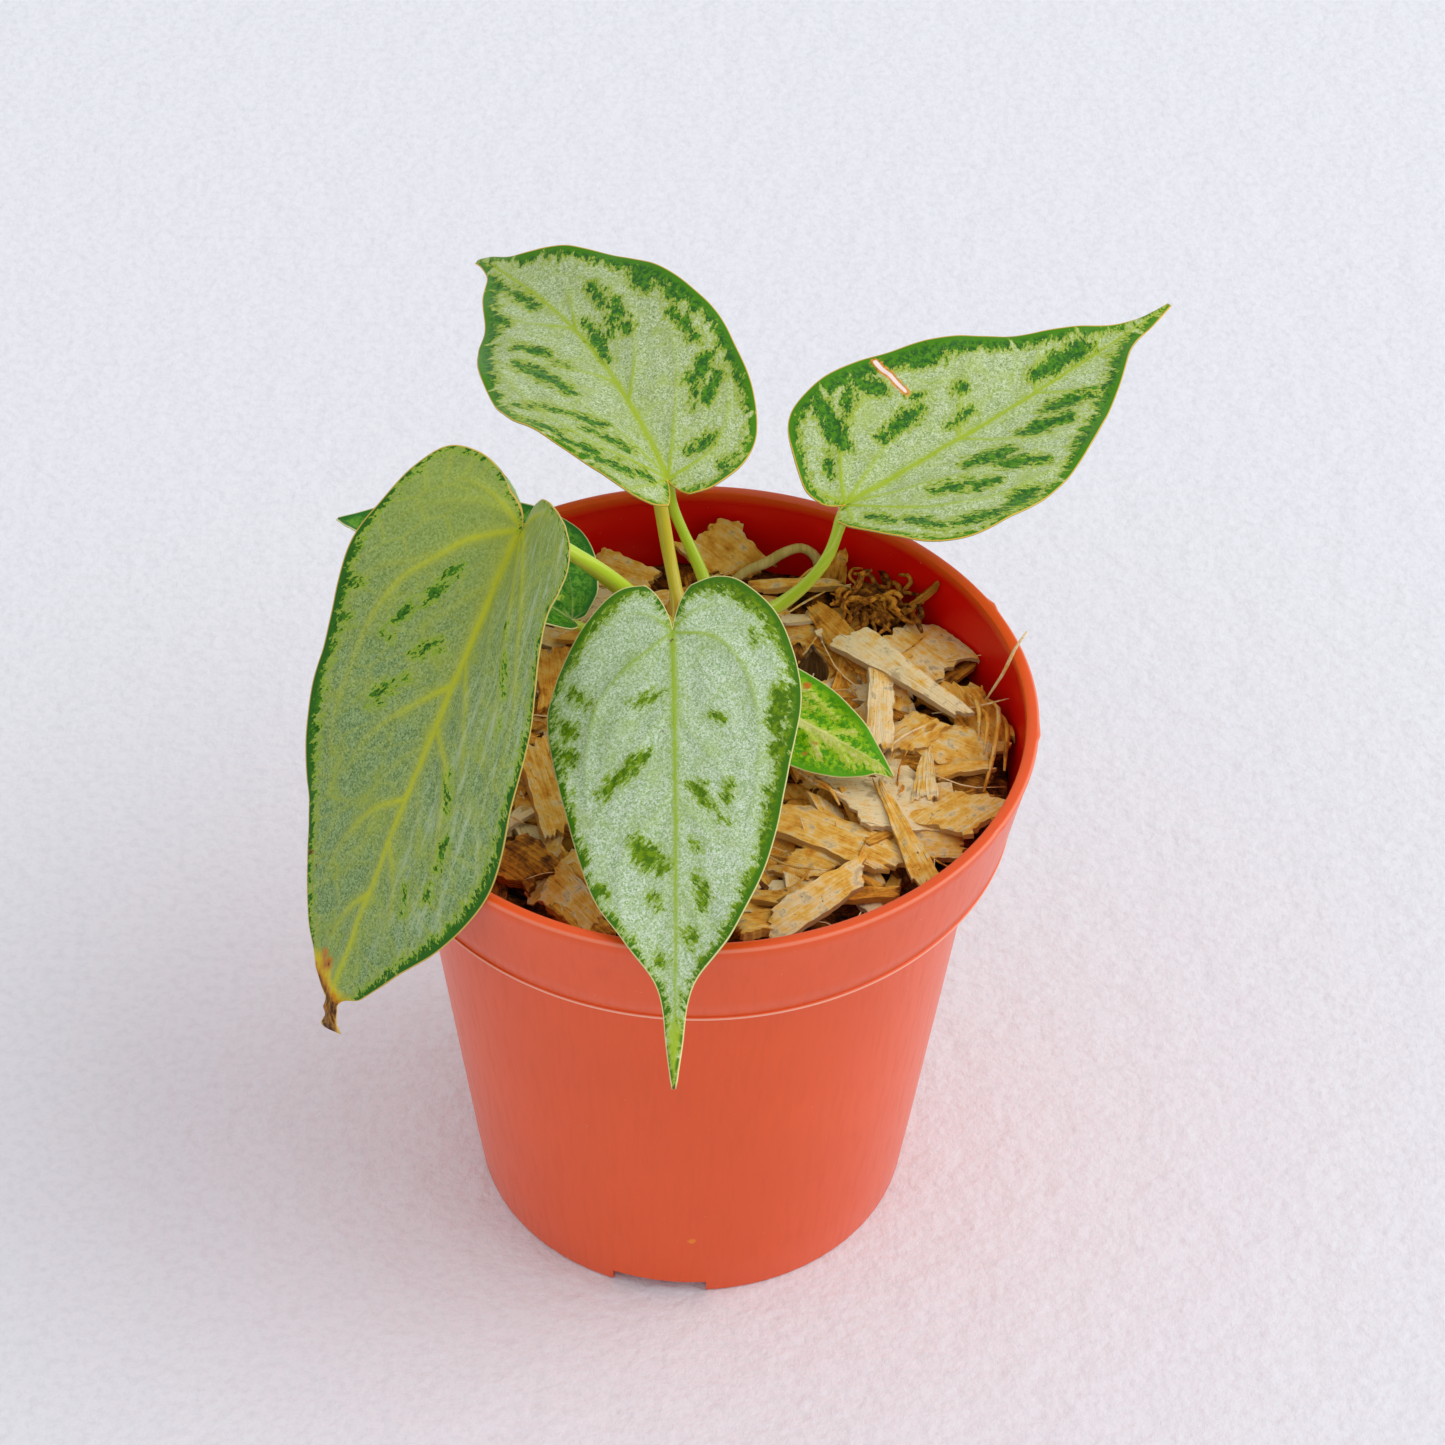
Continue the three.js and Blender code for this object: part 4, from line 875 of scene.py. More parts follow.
def leaf_mesh(name, rows, columns, thickness, vein_width):
    """A blade: a grid shaped to the leaf, marked with what its material needs, then thickened"""
    blade = Blade(name)
    obj = primitive(bpy.ops.mesh.primitive_grid_add, x_subdivisions=columns, y_subdivisions=rows,
                    size=2)
    mesh = obj.data
    grid = points_of(mesh)
    column, row = np.clip(grid[:, 0], -1, 1), np.clip((grid[:, 1] + 1) / 2, 0, 1)
    along, across = blade.flat(row, column)
    flat = np.column_stack([along, across])
    seed = 37.0 * (1 + list(LEAVES).index(name))
    pattern = np.column_stack([flat, np.full(len(flat), seed)])
    edge, band = edge_fields(blade, flat)
    strength, vein_distance = vein_strength(blade, flat, vein_width)

    lie, reach = math.radians(VEIN_LIE), np.abs(across)
    note(mesh, "flat", along, across, seed)
    note(mesh, "lie", along * math.cos(lie) + reach * math.sin(lie),
         reach * math.cos(lie) - along * math.sin(lie), seed + 20 * (across > 0))
    note(mesh, "edge", edge)
    note(mesh, "vein", strength)
    fields = {"green": green_field(blade, flat, band, seed),
              "blush": stroke_field(flat, EDGE_BLUSH.get(name, [])),
              "rust": spot_field(flat, RUST_SPOTS[name])}
    lift = blade_relief(pattern, column, edge, vein_distance, seed)
    normal = blade.normal(row, column)
    if name == "left":
        patches = [(a, b, a + 0.1, b, 2 * radius) for a, b, radius in DRY_PATCH]
        fields["halo"] = polyline_side(flat, HALO_EDGE)
        fields["brown"] = np.maximum(polyline_side(flat, BROWN_EDGE), stroke_field(flat, patches))
        # Painted highlight: pale streaks laid only on the old leaf's folded half, where it catches
        # the light
        note(mesh, "painted_sheen", smooth(-across / 8) * smooth((90 - along) / 20))
        dry = smooth((along - 85) / 4)
        size, height = DRY_RIPPLE
        lift += dry * ripple(pattern, size, 5) * height
        neck = column * np.interp(along, *DRY_NECK)
        across = mix(across, neck, smooth((along - 84.6) / 2.4))
        lift += dry * DRY_CURL * across
    if name == "right":
        run, gap = nearest_on([SCAR["from"], SCAR["to"]], flat)
        fields["scar"] = SCAR["width"] / 2 * (1 - 0.3 * run) - gap
    for field, values in fields.items():
        note(mesh, field, np.clip(values, -FIELD_LIMIT, FIELD_LIMIT))

    place = blade.place(along, across, row, column) + normal * lift[:, None]
    if name in TIP_BENDS:
        start, run, move = TIP_BENDS[name]
        place += np.clip((along - start) / run, 0, None)[:, None] ** 1.6 * np.array(move)
    move_points(mesh, place * MM)
    finish_modifier(obj, "SOLIDIFY", thickness=thickness * MM, offset=0)
    note(mesh, "under", np.arange(len(mesh.vertices)) >= len(flat))
    mesh.shade_smooth()
    return obj


# -------------------------------------------------------------------------------------- nodes


class Nodes:
    """Adds nodes to a material or a group and links them"""

    def __init__(self, tree):
        self.tree = tree
        self.count = 0

    def feed(self, sockets, values):
        """Links sockets, or sets them to numbers, vectors or colours such as #rrggbb"""
        for key, value in values.items():
            if isinstance(value, bpy.types.NodeSocket):
                self.tree.links.new(value, sockets[key])
            else:
                sockets[key].default_value = rgb(value) if isinstance(value, str) else value

    def add(self, kind, inputs=None, **settings):
        node = self.tree.nodes.new(kind)
        for name, value in settings.items():
            setattr(node, name, value)
        self.feed(node.inputs, inputs or {})
        node.location = (180 * (self.count % 12), -220 * (self.count // 12))
        self.count += 1
        return node

    def math(self, operation, a, b=0.0, c=0.0, clamp=False):
        return self.add("ShaderNodeMath", {0: a, 1: b, 2: c}, operation=operation,
                        use_clamp=clamp).outputs[0]

    def plus(self, a, b, clamp=False):
        return self.math("ADD", a, b, clamp=clamp)

    def less(self, a, b):
        return self.math("SUBTRACT", a, b)

    def times(self, a, b, clamp=False):
        return self.math("MULTIPLY", a, b, clamp=clamp)

    def scaled(self, value, factor, start):
        """The value times the factor, on top of the start"""
        return self.math("MULTIPLY_ADD", value, factor, start)

    def larger(self, a, b):
        return self.math("MAXIMUM", a, b)

    def attribute(self, name, output="Fac"):
        return self.add("ShaderNodeAttribute", attribute_name=name).outputs[output]

    def object_millimetres(self):
        place = self.add("ShaderNodeTexCoord").outputs["Object"]
        return self.stretch(place, (1 / MM, 1 / MM, 1 / MM))

    def noise(self, vector, scale, detail=2.0, roughness=0.5):
        return self.add("ShaderNodeTexNoise", {"Vector": vector, "Scale": scale, "Detail": detail,
                                               "Roughness": roughness}).outputs["Fac"]

    def cells(self, vector, scale, **settings):
        inputs = {"Vector": vector, "Scale": scale}
        return self.add("ShaderNodeTexVoronoi", inputs, **settings).outputs

    def one_value(self, colour):
        return self.add("ShaderNodeSeparateColor", {0: colour}).outputs[0]

    def stretch(self, vector, scale):
        return self.add("ShaderNodeMapping", {"Vector": vector, "Scale": scale}).outputs[0]

    def blend(self, share, a, b):
        return self.add("ShaderNodeMix", {0: share, 6: a, 7: b}, data_type="RGBA").outputs[2]

    def paint(self, colour, coat, mask, strength):
        """Lays a coat over a colour where the mask is, at a strength"""
        return self.blend(self.times(mask, strength), colour, coat)

    def between(self, value, low, high):
        """0 at low and 1 at high, with a soft start and end"""
        return self.add("ShaderNodeMapRange", {"Value": value, "From Min": low, "From Max": high},
                        interpolation_type="SMOOTHSTEP").outputs[0]

    def below(self, value, low, high):
        """1 at low and 0 at high, with a soft start and end"""
        return self.less(1.0, self.between(value, low, high))

    def ramp(self, value, stops):
        node = self.add("ShaderNodeValToRGB", {0: value})
        elements = node.color_ramp.elements
        while len(elements) < len(stops):
            elements.new(0.5)
        for element, (place, colour) in zip(elements, stops):
            element.position = place
            element.color = colour
        return node.outputs[0]

    def place(self, group, inputs):
        return self.add("ShaderNodeGroup", inputs, node_tree=group).outputs


def new_group(name, inputs, outputs):
    """An empty shader group with its named sockets; returns its nodes, input and output"""
    tree = bpy.data.node_groups.new(name, "ShaderNodeTree")
    for label, default in {"Vector": None, **inputs}.items():
        kind = "NodeSocketVector" if default is None else "NodeSocketFloat"
        socket = tree.interface.new_socket(name=label, in_out="INPUT", socket_type=kind)
        if default is not None:
            socket.default_value = default
    for label in outputs:
        tree.interface.new_socket(name=label, in_out="OUTPUT", socket_type="NodeSocketFloat")
    nodes = Nodes(tree)
    return tree, nodes, nodes.add("NodeGroupInput").outputs, nodes.add("NodeGroupOutput").inputs


def grain_group():
    """Fine grains in two sizes, such as the glitter of a silver leaf or the pores of plastic"""
    tree, nodes, given, out = new_group("fine_grain", {"Scale": 1.0, "Contrast": 1.0},
                                        ("Grain", "Mottle"))
    vector, scale, contrast = (given[key] for key in ("Vector", "Scale", "Contrast"))
    fine = nodes.noise(vector, scale, 3.0, 0.8)
    sparkle = nodes.one_value(nodes.cells(vector, scale)["Color"])
    sparkle = nodes.times(nodes.less(sparkle, 0.5), 0.36)
    both = nodes.plus(nodes.times(nodes.less(fine, 0.5), contrast), nodes.times(sparkle, contrast))
    nodes.feed(out, {"Grain": nodes.plus(both, 0.5, clamp=True),
                     "Mottle": nodes.noise(vector, nodes.times(scale, 0.06), 3.0, 0.55)})
    return tree


def ragged_group():
    """Turns a field in millimetres into a patch with a ragged edge and a fringe round it"""
    tree, nodes, given, out = new_group(
        "ragged_patch", {"Field": 0.0, "Raggedness": 1.0, "Fringe": 0.5}, ("Core", "Edge", "Halo"))
    drawn = nodes.stretch(given["Vector"], (0.62, 1.2, 1))
    coarse = nodes.less(nodes.noise(drawn, 0.5, 2.0, 0.6), 0.52)
    fine = nodes.less(nodes.noise(drawn, 1.5, 3.0, 0.8), 0.5)
    cell = nodes.less(nodes.one_value(nodes.cells(drawn, 2.3)["Color"]), 0.5)
    moved = nodes.plus(nodes.times(coarse, 7.0), nodes.times(fine, 9.0))
    moved = nodes.times(nodes.scaled(cell, 1.7, moved), given["Raggedness"])
    field = nodes.plus(given["Field"], moved)
    widest = nodes.plus(given["Field"], nodes.times(moved, 0.6))
    nodes.feed(out, {"Core": nodes.between(field, 0.0, 0.35),
                     "Edge": nodes.between(nodes.plus(field, given["Fringe"]), 0.0, 0.5),
                     "Halo": nodes.between(widest, -2.2, -0.2)})
    return tree


def wood_group():
    """Fibres that run along X, with dark specks and slow changes of tone"""
    tree, nodes, given, out = new_group("wood_fibre", {},
                                        ("Streaks", "Specks", "Blotches", "Height"))
    vector = given["Vector"]
    streaks = nodes.noise(nodes.stretch(vector, (0.12, 1.5, 1)), 1.0, 4.0, 0.65)
    threads = nodes.noise(nodes.stretch(vector, (0.25, 5, 1)), 1.0, 3.0, 0.7)
    dots = nodes.between(nodes.noise(vector, 1.1, 4.0, 0.8), 0.62, 0.7)
    cracks = nodes.noise(nodes.stretch(vector, (0.16, 2.2, 1)), 1.0, 4.0, 0.7)
    cracks = nodes.times(nodes.between(cracks, 0.62, 0.7), 0.8)
    nodes.feed(out, {"Streaks": nodes.scaled(streaks, 0.6, nodes.times(threads, 0.4)),
                     "Specks": nodes.larger(dots, cracks),
                     "Blotches": nodes.noise(vector, 0.35, 3.0, 0.6),
                     "Height": nodes.scaled(threads, 0.7, nodes.times(streaks, 0.3))})
    return tree


GROUPS = {}


def group(name):
    """One of the shared groups, built the first time it is asked for"""
    if name not in GROUPS:
        GROUPS[name] = {"grain": grain_group, "ragged": ragged_group, "wood": wood_group}[name]()
    return GROUPS[name]


def new_material(name):
    """An empty material: its nodes and its shader"""
    material = bpy.data.materials.new(name)
    material.use_nodes = True
    material.node_tree.nodes.clear()
    nodes = Nodes(material.node_tree)
    shader = nodes.add("ShaderNodeBsdfPrincipled")
    nodes.add("ShaderNodeOutputMaterial", {0: shader.outputs[0]})
    return material, nodes, shader


def dress(nodes, shader, colour, gloss, specular, relief, more=None):
    """Feeds the shader. Relief is a height with its depth in metres and its strength"""
    height, depth, strength = relief
    normal = nodes.add("ShaderNodeBump", {"Height": height, "Distance": depth,
                                          "Strength": strength}).outputs[0]
    nodes.feed(shader.inputs, {"Base Color": colour, "Roughness": gloss, "Normal": normal,
                               "Specular IOR Level": specular, **(more or {})})


def silver_ground(nodes, look, flat, along, grain, halo):
    """The silver skin: fine grains, a haze round the patches, and on the old leaf pale streaks of
    painted highlight along its folded half
    """
    ground = nodes.blend(grain["Grain"], look["dark_ground"], look["light_ground"])
    haze = nodes.larger(nodes.between(grain["Mottle"], 0.45, 0.72), nodes.times(halo, 0.9))
    if look.get("warm_base"):
        haze = nodes.larger(haze, nodes.below(along, -5, look["warm_base"]))
    ground = nodes.paint(ground, look["haze_colour"], haze, look["haze"])
    # Painted highlight: pale streaks in the colour of the old leaf's folded half
    if look.get("painted_sheen"):
        streaks = nodes.noise(nodes.stretch(flat, (0.11, 0.7, 1)), 1.0, 4.0, 0.7)
        streaks = nodes.times(nodes.between(streaks, 0.46, 0.7), nodes.attribute("painted_sheen"))
        ground = nodes.paint(ground, look["painted_sheen"], streaks, 0.6)
    return ground


def vein_cover(nodes, look, flat, lie, vein):
    """How far the vein's colour covers: the broken main veins and the fine net between them"""
    parts = {0: nodes.stretch(lie, (0.55, 1, 1)), 1: nodes.noise(lie, 0.12, 2.0, 0.5)}
    bent = nodes.add("ShaderNodeVectorMath", parts, operation="ADD")
    net = nodes.cells(bent.outputs[0], 0.2, feature="DISTANCE_TO_EDGE")["Distance"]
    net = nodes.times(nodes.below(net, 0.0, 0.09), look["net"])
    broken = nodes.scaled(nodes.noise(flat, 0.5, 4.0, 0.7), 0.9, 0.55)
    broken = nodes.times(broken, look["vein_strength"])
    return nodes.math("MINIMUM", nodes.larger(nodes.times(vein, broken), net), 0.92)


def spotted(nodes, look, colour, flat, edge, uneven):
    """An orange blush at the edge, rust spots and small freckles"""
    blush = nodes.scaled(uneven, 2.0, nodes.attribute("blush"))
    tint = nodes.blend(nodes.between(edge, 0.1, 0.6), "#8a3f46", "#d08c1e")
    colour = nodes.paint(colour, tint, nodes.between(blush, -0.2, 0.6), 0.8)
    rust = nodes.between(nodes.scaled(uneven, 1.4, nodes.attribute("rust")), -0.15, 0.3)
    colour = nodes.blend(rust, colour, look["rust"])
    dots = nodes.cells(flat, 0.3)
    freckle = nodes.times(nodes.below(dots["Distance"], 0.03, 0.08),
                          nodes.between(nodes.one_value(dots["Color"]), 0.74, 0.76))
    return nodes.paint(colour, "#5a4324", freckle, look["freckles"])


def scarred(nodes, colour, uneven):
    """A pale scar with a scorched border"""
    scar = nodes.attribute("scar")
    scorch = nodes.blend(nodes.between(uneven, -0.15, 0.15), "#b4641c", "#e8a03a")
    singed = nodes.between(nodes.scaled(uneven, 2.4, scar), -0.9, -0.3)
    colour = nodes.blend(singed, colour, scorch)
    return nodes.blend(nodes.between(scar, -0.2, 0.05), colour, "#f7e3dc")


def dried(nodes, colour, flat):
    """A dead brown tip with a yellow halo"""
    wobble = nodes.times(nodes.less(nodes.noise(flat, 0.9, 3.0), 0.5), 2.2)
    halo, brown = (nodes.plus(nodes.attribute(key), wobble) for key in ("halo", "brown"))
    colour = nodes.blend(nodes.between(halo, -1.2, 0.9), colour, "#d2b81c")
    colour = nodes.blend(nodes.between(brown, -1.3, 0.1), colour, "#c07a1c")
    streaks = nodes.noise(nodes.stretch(flat, (0.5, 1.4, 1)), 1.0, 4.0, 0.7)
    husk = nodes.blend(nodes.between(streaks, 0.36, 0.64), "#3c1f0c", "#b07a34")
    return nodes.blend(nodes.between(brown, -0.1, 0.6), colour, husk)


def leaf_material(name, look):
    """A leaf skin: glittering silver, dark green patches with ragged fringes, raised veins"""
    material, nodes, shader = new_material(name)
    flat, lie = (nodes.attribute(key, "Vector") for key in ("flat", "lie"))
    edge, vein, under = (nodes.attribute(key) for key in ("edge", "vein", "under"))
    along = nodes.add("ShaderNodeSeparateXYZ", {0: flat}).outputs[0]
    grain = nodes.place(group("grain"),
                        {"Vector": flat, "Scale": 3.3, "Contrast": look["contrast"]})
    patch = nodes.place(group("ragged"), {"Vector": lie, "Field": nodes.attribute("green"),
                                          "Raggedness": look["ragged"], "Fringe": look["fringe"]})
    colour = silver_ground(nodes, look, flat, along, grain, patch["Halo"])
    cover = vein_cover(nodes, look, flat, lie, vein)
    colour = nodes.blend(cover, colour, look["vein"])

    depth = nodes.between(nodes.noise(lie, 0.9, 3.0, 0.7), 0.42, 0.6)
    tone = nodes.blend(depth, look["core"], look["core_light"])
    tone = nodes.blend(nodes.below(edge, 0.5, 1.8), tone, look["border"])
    colour = nodes.paint(colour, look["fringe_colour"], patch["Edge"], look["fringe_strength"])
    colour = nodes.blend(patch["Core"], colour, tone)
    if look["vein_over"]:
        over = nodes.times(nodes.between(vein, 0.35, 0.9), look["vein_over"], clamp=True)
        colour = nodes.blend(over, colour, look["vein"])

    uneven = nodes.less(nodes.noise(flat, 1.6, 3.0, 0.7), 0.5)
    colour = spotted(nodes, look, colour, flat, edge, uneven)
    if look.get("tip_glow"):
        start, tip_colour = look["tip_glow"]
        glow = nodes.times(nodes.between(along, start, start + 5), nodes.between(edge, 0.2, 0.9))
        colour = nodes.paint(colour, tip_colour, glow, 0.85)
    if look.get("scar"):
        colour = scarred(nodes, colour, uneven)
    if look.get("dry_tip"):
        colour = dried(nodes, colour, flat)
    colour = nodes.blend(nodes.below(edge, 0.04, 0.27), colour, look["rim"])

    belly = nodes.blend(grain["Mottle"], look["under"], look["under_light"])
    belly = nodes.blend(cover, belly, look["vein"])
    colour = nodes.blend(nodes.between(under, 0.4, 0.6), colour, belly)
    gloss = nodes.scaled(patch["Core"], look["gloss_core"] - look["gloss"], look["gloss"])
    gloss = nodes.scaled(nodes.less(grain["Grain"], 0.5), 0.25, gloss)
    height = nodes.scaled(vein, 0.6, nodes.times(grain["Grain"], 0.12))
    height = nodes.scaled(grain["Mottle"], 0.3, height)
    dress(nodes, shader, colour, gloss, look["specular"], (height, 0.00025, 0.8))
    return material


def pot_material(settings):
    """Thin moulded plastic: satin, faintly streaked, with painted highlights along the collar's
    bead and the lip's outer edge, a deeper red painted shade on the inner wall, and specked with
    dust
    """
    material, nodes, shader = new_material("pot_plastic")
    scaled = nodes.object_millimetres()
    grain = nodes.place(group("grain"), {"Vector": scaled, "Scale": 1.6, "Contrast": 0.8})
    streak = nodes.noise(nodes.stretch(scaled, (0.8, 0.8, 0.014)), 1.0, 3.0, 0.6)
    cloud = nodes.noise(scaled, 0.03, 2.0, 0.5)
    colour = nodes.blend(nodes.between(cloud, 0.3, 0.75), settings.plastic, settings.plastic_deep)
    colour = nodes.paint(colour, "#c4461a", nodes.between(streak, 0.42, 0.7), 0.12)
    # Painted shade: the inner wall gets a deeper, more saturated red than the same plastic
    # outside, for its shade and the red light bounced inside
    colour = nodes.blend(nodes.attribute("inside"), colour, settings.inside_painted_shade)
    # Painted highlight: a pale salmon line on the collar's bead and the lip's outer edge
    colour = nodes.paint(colour, "#ffc2a4", nodes.attribute("painted_highlight"), 0.75)
    dust = nodes.between(nodes.noise(scaled, 1.1, 2.0, 0.8), 0.72, 0.78)
    colour = nodes.paint(colour, "#eab9a2", dust, 0.35)
    speck = nodes.add("ShaderNodeVectorMath", {0: scaled, 1: ORANGE_SPECK}, operation="DISTANCE")
    ragged = nodes.scaled(nodes.noise(scaled, 1.2, 2.0), 1.2, speck.outputs["Value"])
    colour = nodes.paint(colour, "#f08a00", nodes.below(ragged, 1.1, 1.5), 0.8)
    gloss = nodes.scaled(nodes.between(streak, 0.45, 0.7), 0.06, 0.32)
    gloss = nodes.scaled(grain["Grain"], 0.06, gloss)
    height = nodes.scaled(cloud, 0.5, nodes.times(grain["Grain"], 0.25))
    dress(nodes, shader, colour, gloss, 0.18, (height, 0.00005, 0.4),
          {"Coat Weight": 0.32, "Coat Roughness": 0.22})
    return material


def wood_material(name, settings, rough=0.75):
    """Husk and wood in the tone that each chip carries, with fibres, specks and stains"""
    material, nodes, shader = new_material(name)
    grain = nodes.attribute("grain", "Vector")
    wood = nodes.place(group("wood"), {"Vector": grain})
    shift = nodes.times(nodes.less(wood["Streaks"], 0.43), 1.1)
    shift = nodes.scaled(nodes.less(wood["Blotches"], 0.46), 1.2, shift)
    stops = ((0.0, settings.darkest), (0.22, settings.dark), (0.5, settings.tan),
             (0.74, settings.straw), (1.0, settings.cream))
    colour = nodes.ramp(nodes.plus(nodes.attribute("tone"), shift, clamp=True), stops)
    colour = nodes.paint(colour, "#7a4a1c", nodes.between(wood["Blotches"], 0.56, 0.7), 0.45)
    colour = nodes.paint(colour, "#642e06", wood["Specks"], 0.85)
    gloss = nodes.scaled(wood["Streaks"], 0.25, rough - 0.12)
    dress(nodes, shader, colour, gloss, 0.15, (wood["Height"], 0.0006, 0.8))
    return material


def stalk_material(name, top, foot, stripe):
    """A smooth fleshy stalk with paler stripes, of another colour at its foot"""
    material, nodes, shader = new_material(name)
    grain = nodes.attribute("grain", "Vector")
    streak = nodes.noise(nodes.stretch(grain, (0.05, 1.1, 1.1)), 1.0, 3.0, 0.6)
    speck = nodes.place(group("grain"), {"Vector": grain, "Scale": 2.4, "Contrast": 0.7})
    colour = nodes.blend(nodes.between(nodes.attribute("share"), 0.02, 0.3), foot, top)
    colour = nodes.blend(nodes.between(streak, 0.42, 0.7), colour, stripe)
    colour = nodes.paint(colour, "#90ae24", speck["Grain"], 0.2)
    gloss = nodes.scaled(speck["Grain"], 0.15, 0.3)
    dress(nodes, shader, colour, gloss, 0.45, (streak, 0.0001, 0.4))
    return material


def bark_material(name, dark, light, pale, scale=1.0):
    """Rough skin of the crown, the scale leaf or the root, with rings, cracks and a pale bloom"""
    material, nodes, shader = new_material(name)
    grain = nodes.attribute("grain", "Vector")
    rings = nodes.noise(nodes.stretch(grain, (1.4 * scale, 0.25 * scale, 1)), 1.0, 4.0, 0.65)
    cloud = nodes.noise(grain, 0.4 * scale, 3.0, 0.6)
    fine = nodes.place(group("grain"), {"Vector": grain, "Scale": 2.6, "Contrast": 1.0})
    colour = nodes.blend(nodes.between(rings, 0.3, 0.7), dark, light)
    colour = nodes.paint(colour, pale, nodes.between(cloud, 0.55, 0.8), 0.7)
    gloss = nodes.scaled(fine["Grain"], 0.2, 0.55)
    height = nodes.scaled(fine["Grain"], 0.3, rings)
    dress(nodes, shader, colour, gloss, 0.35, (height, 0.0004, 0.8))
    return material


def floor_material(settings):
    """A pale sheet with a faint tooth"""
    material, nodes, shader = new_material("pale_sheet")
    scaled = nodes.object_millimetres()
    tooth = nodes.scaled(nodes.noise(scaled, 0.3, 4.0, 0.65), 0.5,
                         nodes.noise(scaled, 0.09, 3.0, 0.6))
    cloud = nodes.noise(scaled, 0.5, 2.0, 0.6)
    colour = nodes.blend(nodes.between(cloud, 0.4, 0.7), settings.sheet, "#e6e6ea")
    dress(nodes, shader, colour, nodes.scaled(tooth, 0.2, 0.6), 0.2, (tooth, 0.0015, 0.6))
    return material


# -------------------------------------------------------------------------------------- pieces


def pot_profile(settings):
    """The pot's wall as one closed line of (radius, height), from the foot disc round"""
    sizes = settings.rim_radius, settings.height, settings.wall
    rim, top, wall = (value / MM for value in sizes)

    def collar(height):
        return mix(COLLAR_FOOT_RADIUS, rim, (height - STEP_HEIGHT) / (top - STEP_HEIGHT))

    def body(height):
        return mix(BASE_RADIUS, SHOULDER_RADIUS, height / STEP_HEIGHT)

    def rounded(centre, radius, start, end, steps=4):
        return [(centre[0] + radius * math.cos(angle), centre[1] + radius * math.sin(angle))
                for angle in np.radians(np.linspace(start, end, steps))]

    lip_foot = top - LIP_DEPTH
    ledge = STEP_HEIGHT + wall
    floor_top = CHANNEL_HEIGHT + FLOOR
    foot_inner = BASE_RADIUS - FOOT_RING
    profile = [(DISC_RADIUS, 0), (DISC_RADIUS + CHANNEL_SLOPE, CHANNEL_HEIGHT),
               (foot_inner, CHANNEL_HEIGHT), (foot_inner, 0.4), (foot_inner + 0.3, 0)]
    profile += rounded((BASE_RADIUS - 0.7, 0.7), 0.7, -90, 0)
    profile += [(body(height), height) for height in (12, 30, 50, 70, 84, STEP_HEIGHT - 1.2)]
    profile += [(SHOULDER_RADIUS + 0.1, STEP_HEIGHT - 0.3), (SHOULDER_RADIUS + 0.5, STEP_HEIGHT)]
    profile += rounded((COLLAR_FOOT_RADIUS - 0.1, STEP_HEIGHT + 0.45), 0.45, -90, 80, 6)
    profile += [(collar(STEP_HEIGHT + 1.25), STEP_HEIGHT + 1.25)]
    profile += [(collar(height), height) for height in (96, 102, lip_foot - 0.8)]
    profile += rounded((rim - 0.7, top - 0.7), 0.7, 0, 80)
    profile += [(rim - 1.3, top), (rim - LIP_WIDTH + 0.5, top - 0.05)]
    profile += rounded((rim - LIP_WIDTH + 0.5, top - 0.5), 0.45, 90, 180, 3)
    profile += [(rim - LIP_WIDTH, lip_foot), (collar(lip_foot - 0.6) - wall, lip_foot - 0.6)]
    profile += [(collar(height) - wall, height) for height in (104, 98, ledge + 0.3)]
    profile += [(SHOULDER_RADIUS - wall + 0.3, ledge), (SHOULDER_RADIUS - wall, ledge - 0.3)]
    profile += [(body(height) - wall, height) for height in (70, 40, floor_top + 0.5)]
    profile += [(body(floor_top) - wall - 0.5, floor_top), (DISC_RADIUS, floor_top),
                (DISC_RADIUS - CHANNEL_SLOPE, FLOOR)]
    return profile


def cut_box(obj, width, length, height, azimuth, radius, bottom):
    """Cuts a box-shaped opening through the pot"""
    box = primitive(bpy.ops.mesh.primitive_cube_add, size=MM,
                    location=(radius * math.cos(azimuth) * MM, radius * math.sin(azimuth) * MM,
                              (bottom + height / 2) * MM),
                    rotation=(0, 0, azimuth), scale=(length, width, height))
    settle(box)
    finish_modifier(obj, "BOOLEAN", object=box, operation="DIFFERENCE", solver="EXACT")
    bpy.data.objects.remove(box, do_unlink=True)


